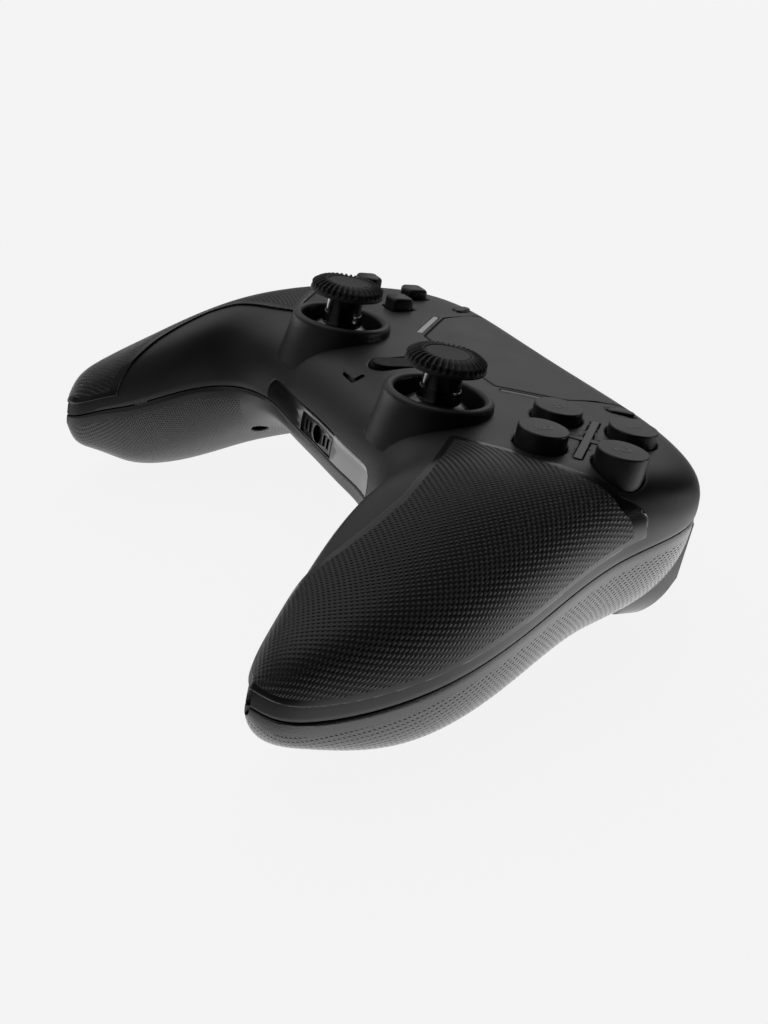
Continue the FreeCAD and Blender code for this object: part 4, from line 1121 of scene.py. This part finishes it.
# Painted shade: the home key is near black with little shine, standing for the shadow in its sunk hole
painted_shade_key = finish_material("key_in_painted_shade", (0.004, 0.004, 0.004), 0.5, grain=3000.0, depth=0.2, specular=0.12)
for side, label in ((-1, "left"), (1, "right")):
    outline = oval(side * PILL_X, PILL_Y, *PILL_SIZE, side * PILL_TURN, corner=1.25)
    pill = capped_block("pill_" + label, outline, -5, 2.45, 0.6, 0.15)
    settle(pill, "small_button_" + label, "key_plastic", "small_button_" + label, angle=60)
home = capped_block("home_key", oval(0, HOME_Y, *HOME_SIZE, turn=0, corner=3.1), -6, -0.35, 0.5, 0.05)
settle(home, "home_button", "gloss_black", "home_button", angle=60)
bar = bar_outline(0, MUTE_Y, *MUTE_SIZE, turn=0, corner=0.5)
mute = patch("mute_bar", bar, grow=0.45, rounding=0.25, cuts=3)
thicken(mute, MUTE_HEIGHT)
settle(mute, "mute_button", "key_plastic", "mute_button")
paint(satin, "pill_left", "pill_right", "mute_bar")
paint(painted_shade_key, "home_key")


# Bumpers: a thin key over the parting line at each end of the rear, moulded in the same
# satin black plastic. It slides in a slot of the shell and presses a switch inside.

BUMPER_WALL = 2.5

for side, label in ((-1, "left"), (1, "right")):
    shoulder = patch("shoulder_" + label, bumper_window(side, -0.3), grow=0.15, rounding=0.35)
    thicken(shoulder, BUMPER_WALL)
    settle(shoulder, "bumper_" + label, "key_plastic", "bumper_" + label)
    paint(satin, "shoulder_" + label)


# Front band: a glossy black strip between the grips, with a painted highlight at its right end, a patch of
# pale colour, and the panel of the headset socket beside it. Both are moulded and clipped into the rounded
# opening of the front flank.

SHARP_ANGLE = 38
FLAT_ANGLE = 1.5
WELD = 0.00001
# Where the painted highlight starts along the front band
PAINTED_HIGHLIGHT_START = 0.0088


def eased_copy(name, node, body, width):
    # A solid's own shape, its triangles merged into faces and its sharp edges rounded
    source = frame["nodes"][node]
    data = source.data.copy()
    data.materials.clear()
    piece = bpy.data.objects.new(name, data)
    bpy.context.scene.collection.objects.link(piece)
    mesh = bmesh.new()
    mesh.from_mesh(data)
    bmesh.ops.remove_doubles(mesh, verts=mesh.verts, dist=WELD)
    bmesh.ops.dissolve_limit(mesh, angle_limit=math.radians(FLAT_ANGLE), verts=mesh.verts, edges=mesh.edges)
    mesh.to_mesh(data)
    mesh.free()
    solid = BVHTree.FromPolygons([vertex.co[:] for vertex in data.vertices],
                                 [tuple(face.vertices) for face in data.polygons])
    finish_with(piece, "BEVEL", width=width, segments=3, limit_method="ANGLE",
                angle_limit=math.radians(SHARP_ANGLE))
    for vertex in piece.data.vertices:
        nearest, _, _, gap = solid.find_nearest(vertex.co)
        if gap > width / 2:
            vertex.co = nearest
    smooth_faces(piece)
    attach(piece, body)
    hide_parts(node)


def banded_gloss():
    # Polished black with a painted highlight: pale colour that fills the band's right end
    material = finish_material("front_gloss", (0.006, 0.006, 0.007), 0.16, depth=0.05)
    tree = material.node_tree
    shader = tree.nodes["Principled BSDF"]
    split = tree.nodes.new("ShaderNodeSeparateXYZ")
    tree.links.new(tree.nodes["Texture Coordinate"].outputs["Object"], split.inputs[0])
    # Painted highlight: the band turns pale grey past this line, across its right end
    plate = math_node(tree, "GREATER_THAN", split.outputs["X"], PAINTED_HIGHLIGHT_START)
    mix = tree.nodes.new("ShaderNodeMix")
    mix.data_type = "RGBA"
    mix.inputs[7].default_value = (0.5, 0.505, 0.51, 1)
    tree.links.new(plate, mix.inputs[0])
    tree.links.new(shader.inputs["Base Color"].links[0].from_socket, mix.inputs[6])
    tree.links.new(mix.outputs[2], shader.inputs["Base Color"])
    return material


eased_copy("front_band", "front_trim", "housing", 0.00015)
eased_copy("socket_panel", "connector_panel", "housing", 0.0002)
paint(banded_gloss(), "front_band")
paint(gloss, "socket_panel")


# Triggers: a curved hollow key of satin black plastic at each rear corner. It turns on
# a steel pin through its upper front, and the pad rests on its lower end.

for label in ("left", "right"):
    eased_copy("pull_" + label, "trigger_" + label, "trigger_" + label, 0.0007)
    paint(satin, "pull_" + label)


# Inner pieces: frames, board, cell, membranes, pins and springs keep the form of their
# solids. They get the finish of what they are made of: plastic, steel, gold or rubber.

hidden = {
    "inner_plastic": finish_material("inner_plastic", (0.03, 0.03, 0.032), 0.55, depth=0.3),
    "steel": finish_material("bright_steel", (0.5, 0.5, 0.51), 0.3, grain=6000.0, metallic=1.0, wear=0.1),
    "gold_contact": finish_material("plated_contacts", (0.75, 0.55, 0.22), 0.25, metallic=1.0, wear=0.1),
    "board_green": finish_material("coated_board", (0.01, 0.07, 0.035), 0.35, depth=0.3),
    "membrane_rubber": finish_material("membrane", (0.12, 0.12, 0.125), 0.65, depth=0.3),
    "battery_wrap": finish_material("wrapped_cell", (0.05, 0.055, 0.06), 0.4, depth=0.2),
}
for row in frame["record"]["subparts"]:
    if row["material_slot"] in hidden:
        for slot in frame["nodes"][row["node"]].material_slots:
            slot.material = hidden[row["material_slot"]]


# Camera: it stands at the front right of the pad and looks down on the face. Its place
# and its three directions are told in the plane of the face and turned as the pad lies.

FOCAL_PIXELS = 1217.05
FRAME_PIXELS = 1024
SENSOR_WIDTH = 36
CAMERA_PLACE = (234.09, -135.22, 82.44)


def facing(x, y, z):
    # A direction in the plane of the face, turned as the pad lies
    turn, drop = math.cos(LIE_ANGLE), math.sin(LIE_ANGLE)
    return Vector((x, turn * y + drop * z, turn * z - drop * y))


lens = bpy.data.cameras.new("camera")
lens.sensor_width = SENSOR_WIDTH
lens.lens = FOCAL_PIXELS / FRAME_PIXELS * SENSOR_WIDTH
lens.clip_start = 0.01
viewer = bpy.data.objects.new("camera", lens)
bpy.context.scene.collection.objects.link(viewer)
sideways = facing(0.4403, 0.8786, 0.1851)
upwards = -facing(0.4449, -0.0344, -0.8949)
backwards = -facing(-0.7799, 0.4764, -0.4061)
turned = Matrix((sideways, upwards, backwards)).transposed().to_4x4()
viewer.matrix_world = Matrix.Translation(Vector(lay([CAMERA_PLACE])[0])) @ turned
bpy.context.scene.camera = viewer


# Studio: five soft lights round the pad, drawn by the world in a dark room. The camera
# itself sees only an even pale backdrop.

SKY_LIGHTS = (
    ((-0.80, 0.49, 0.34), 0.55, 0.96, 0.28), ((-0.4, -0.1, 0.9), 0.72, 0.98, 0.86),
    ((-0.9, -0.35, 0.3), 0.8, 0.98, 0.28), ((0.1, -0.9, 0.5), 0.75, 0.98, 0.2),
    ((-0.2, 0.95, 0.25), 0.8, 0.98, 0.1),
)
BACKDROP_TONE = 0.905


def measure(tree, operation, vector, other):
    node = tree.nodes.new("ShaderNodeVectorMath")
    node.operation = operation
    tree.links.new(vector, node.inputs[0])
    node.inputs[1].default_value = other
    return node.outputs["Value"]


def soft_rise(tree, value, start, end, strength):
    # Rises softly from nothing at the start to its full strength at the end
    node = tree.nodes.new("ShaderNodeMapRange")
    node.interpolation_type = "SMOOTHSTEP"
    node.inputs["From Min"].default_value = start
    node.inputs["From Max"].default_value = end
    node.inputs["To Max"].default_value = strength
    tree.links.new(value, node.inputs["Value"])
    return node.outputs[0]


def build_studio():
    world = bpy.data.worlds.new("studio")
    bpy.context.scene.world = world
    world.use_nodes = True
    tree = world.node_tree
    aim = tree.nodes.new("ShaderNodeTexCoord").outputs["Generated"]
    glow = None
    for spot, start, end, strength in SKY_LIGHTS:
        nearness = measure(tree, "DOT_PRODUCT", aim, Vector(spot).normalized())
        light = soft_rise(tree, nearness, start, end, strength)
        glow = math_node(tree, "ADD", glow, light) if glow else light
    shade = tree.nodes.new("ShaderNodeCombineColor")
    for socket in shade.inputs[:3]:
        tree.links.new(glow, socket)
    rays = tree.nodes.new("ShaderNodeLightPath")
    seen = tree.nodes.new("ShaderNodeMix")
    seen.data_type = "RGBA"
    tree.links.new(rays.outputs["Is Camera Ray"], seen.inputs[0])
    tree.links.new(shade.outputs[0], seen.inputs[6])
    seen.inputs[7].default_value = (BACKDROP_TONE, BACKDROP_TONE, BACKDROP_TONE, 1)
    backdrop = tree.nodes["Background"]
    tree.links.new(seen.outputs[2], backdrop.inputs["Color"])
    backdrop.inputs["Strength"].default_value = 1.0


build_studio()


# Floor: a sheet of white paper under the pad. It holds the pad's shadow, throws a soft
# light up at it, and gives its glossy faces six pale patches to mirror.

FLOOR_SIZE = 12
PAPER_TONE = 0.945
CAMERA_SHARE = 0.93
LIGHT_SHARE = 0.9
POOL_UNDER = ((0, 0, 0), 0.1, 0.4, 0.4)
MIRRORED_POOLS = (
    ((0.078, -0.035, 0), 0.02, 0.075, 1.6), ((0.09, 0.06, 0), 0.02, 0.075, 2.4),
    ((-0.07, -0.08, 0), 0.02, 0.09, 0.6), ((0.2, 0.34, 0), 0.03, 0.11, 14.0),
    ((-0.2, 0.1, 0), 0.1, 0.4, 1.0), ((-0.35, -0.25, 0), 0.1, 0.3, 3.5),
)


def light_pool(tree, spot, centre, inside, outside, strength):
    return soft_rise(tree, measure(tree, "DISTANCE", spot, centre), outside, inside, strength)


def build_paper():
    paper = bpy.data.materials.new("paper")
    paper.use_nodes = True
    tree = paper.node_tree
    white = tree.nodes["Principled BSDF"]
    white.inputs["Base Color"].default_value = (0.9, 0.9, 0.9, 1)
    white.inputs["Roughness"].default_value = 0.9
    white.inputs["Specular IOR Level"].default_value = 0.0
    rays = tree.nodes.new("ShaderNodeLightPath")
    camera, glossy = rays.outputs["Is Camera Ray"], rays.outputs["Is Glossy Ray"]
    spot = tree.nodes.new("ShaderNodeTexCoord").outputs["Object"]
    matt = math_node(tree, "SUBTRACT", 1.0, glossy)
    pools = math_node(tree, "MULTIPLY", light_pool(tree, spot, *POOL_UNDER), matt)
    for pool in MIRRORED_POOLS:
        pools = math_node(tree, "MULTIPLY_ADD", light_pool(tree, spot, *pool), glossy, pools)
    unseen = math_node(tree, "SUBTRACT", 1.0, camera)
    tint = math_node(tree, "MULTIPLY_ADD", camera, PAPER_TONE, math_node(tree, "MULTIPLY", pools, unseen))
    pale = tree.nodes.new("ShaderNodeEmission")
    tree.links.new(tint, pale.inputs["Strength"])
    share = math_node(tree, "MULTIPLY_ADD", camera, CAMERA_SHARE - LIGHT_SHARE, LIGHT_SHARE)
    blend = tree.nodes.new("ShaderNodeMixShader")
    tree.links.new(share, blend.inputs[0])
    tree.links.new(white.outputs[0], blend.inputs[1])
    tree.links.new(pale.outputs[0], blend.inputs[2])
    tree.links.new(blend.outputs[0], tree.nodes["Material Output"].inputs["Surface"])
    return paper


bpy.ops.object.select_all(action="DESELECT")
bpy.ops.mesh.primitive_plane_add(size=FLOOR_SIZE)
floor = bpy.context.active_object
floor.name = "floor"
floor.data.materials.append(build_paper())


# Lamp: one large soft light behind the pad, high on the left. It aims at the middle of
# the object.

LAMP_PLACE = Vector((-0.9, 1.0, 0.8))
LAMP_TARGET = Vector((0, 0, 0.03))
LAMP_SIZE = 0.9
LAMP_POWER = 2.0

light = bpy.data.lights.new("soft_rear", "AREA")
light.size = LAMP_SIZE
light.energy = LAMP_POWER
lamp = bpy.data.objects.new("soft_rear", light)
bpy.context.scene.collection.objects.link(lamp)
turn = (LAMP_TARGET - LAMP_PLACE).to_track_quat("-Z", "Y").to_matrix().to_4x4()
lamp.matrix_world = Matrix.Translation(LAMP_PLACE) @ turn

bpy.context.scene.view_settings.view_transform = "Standard"
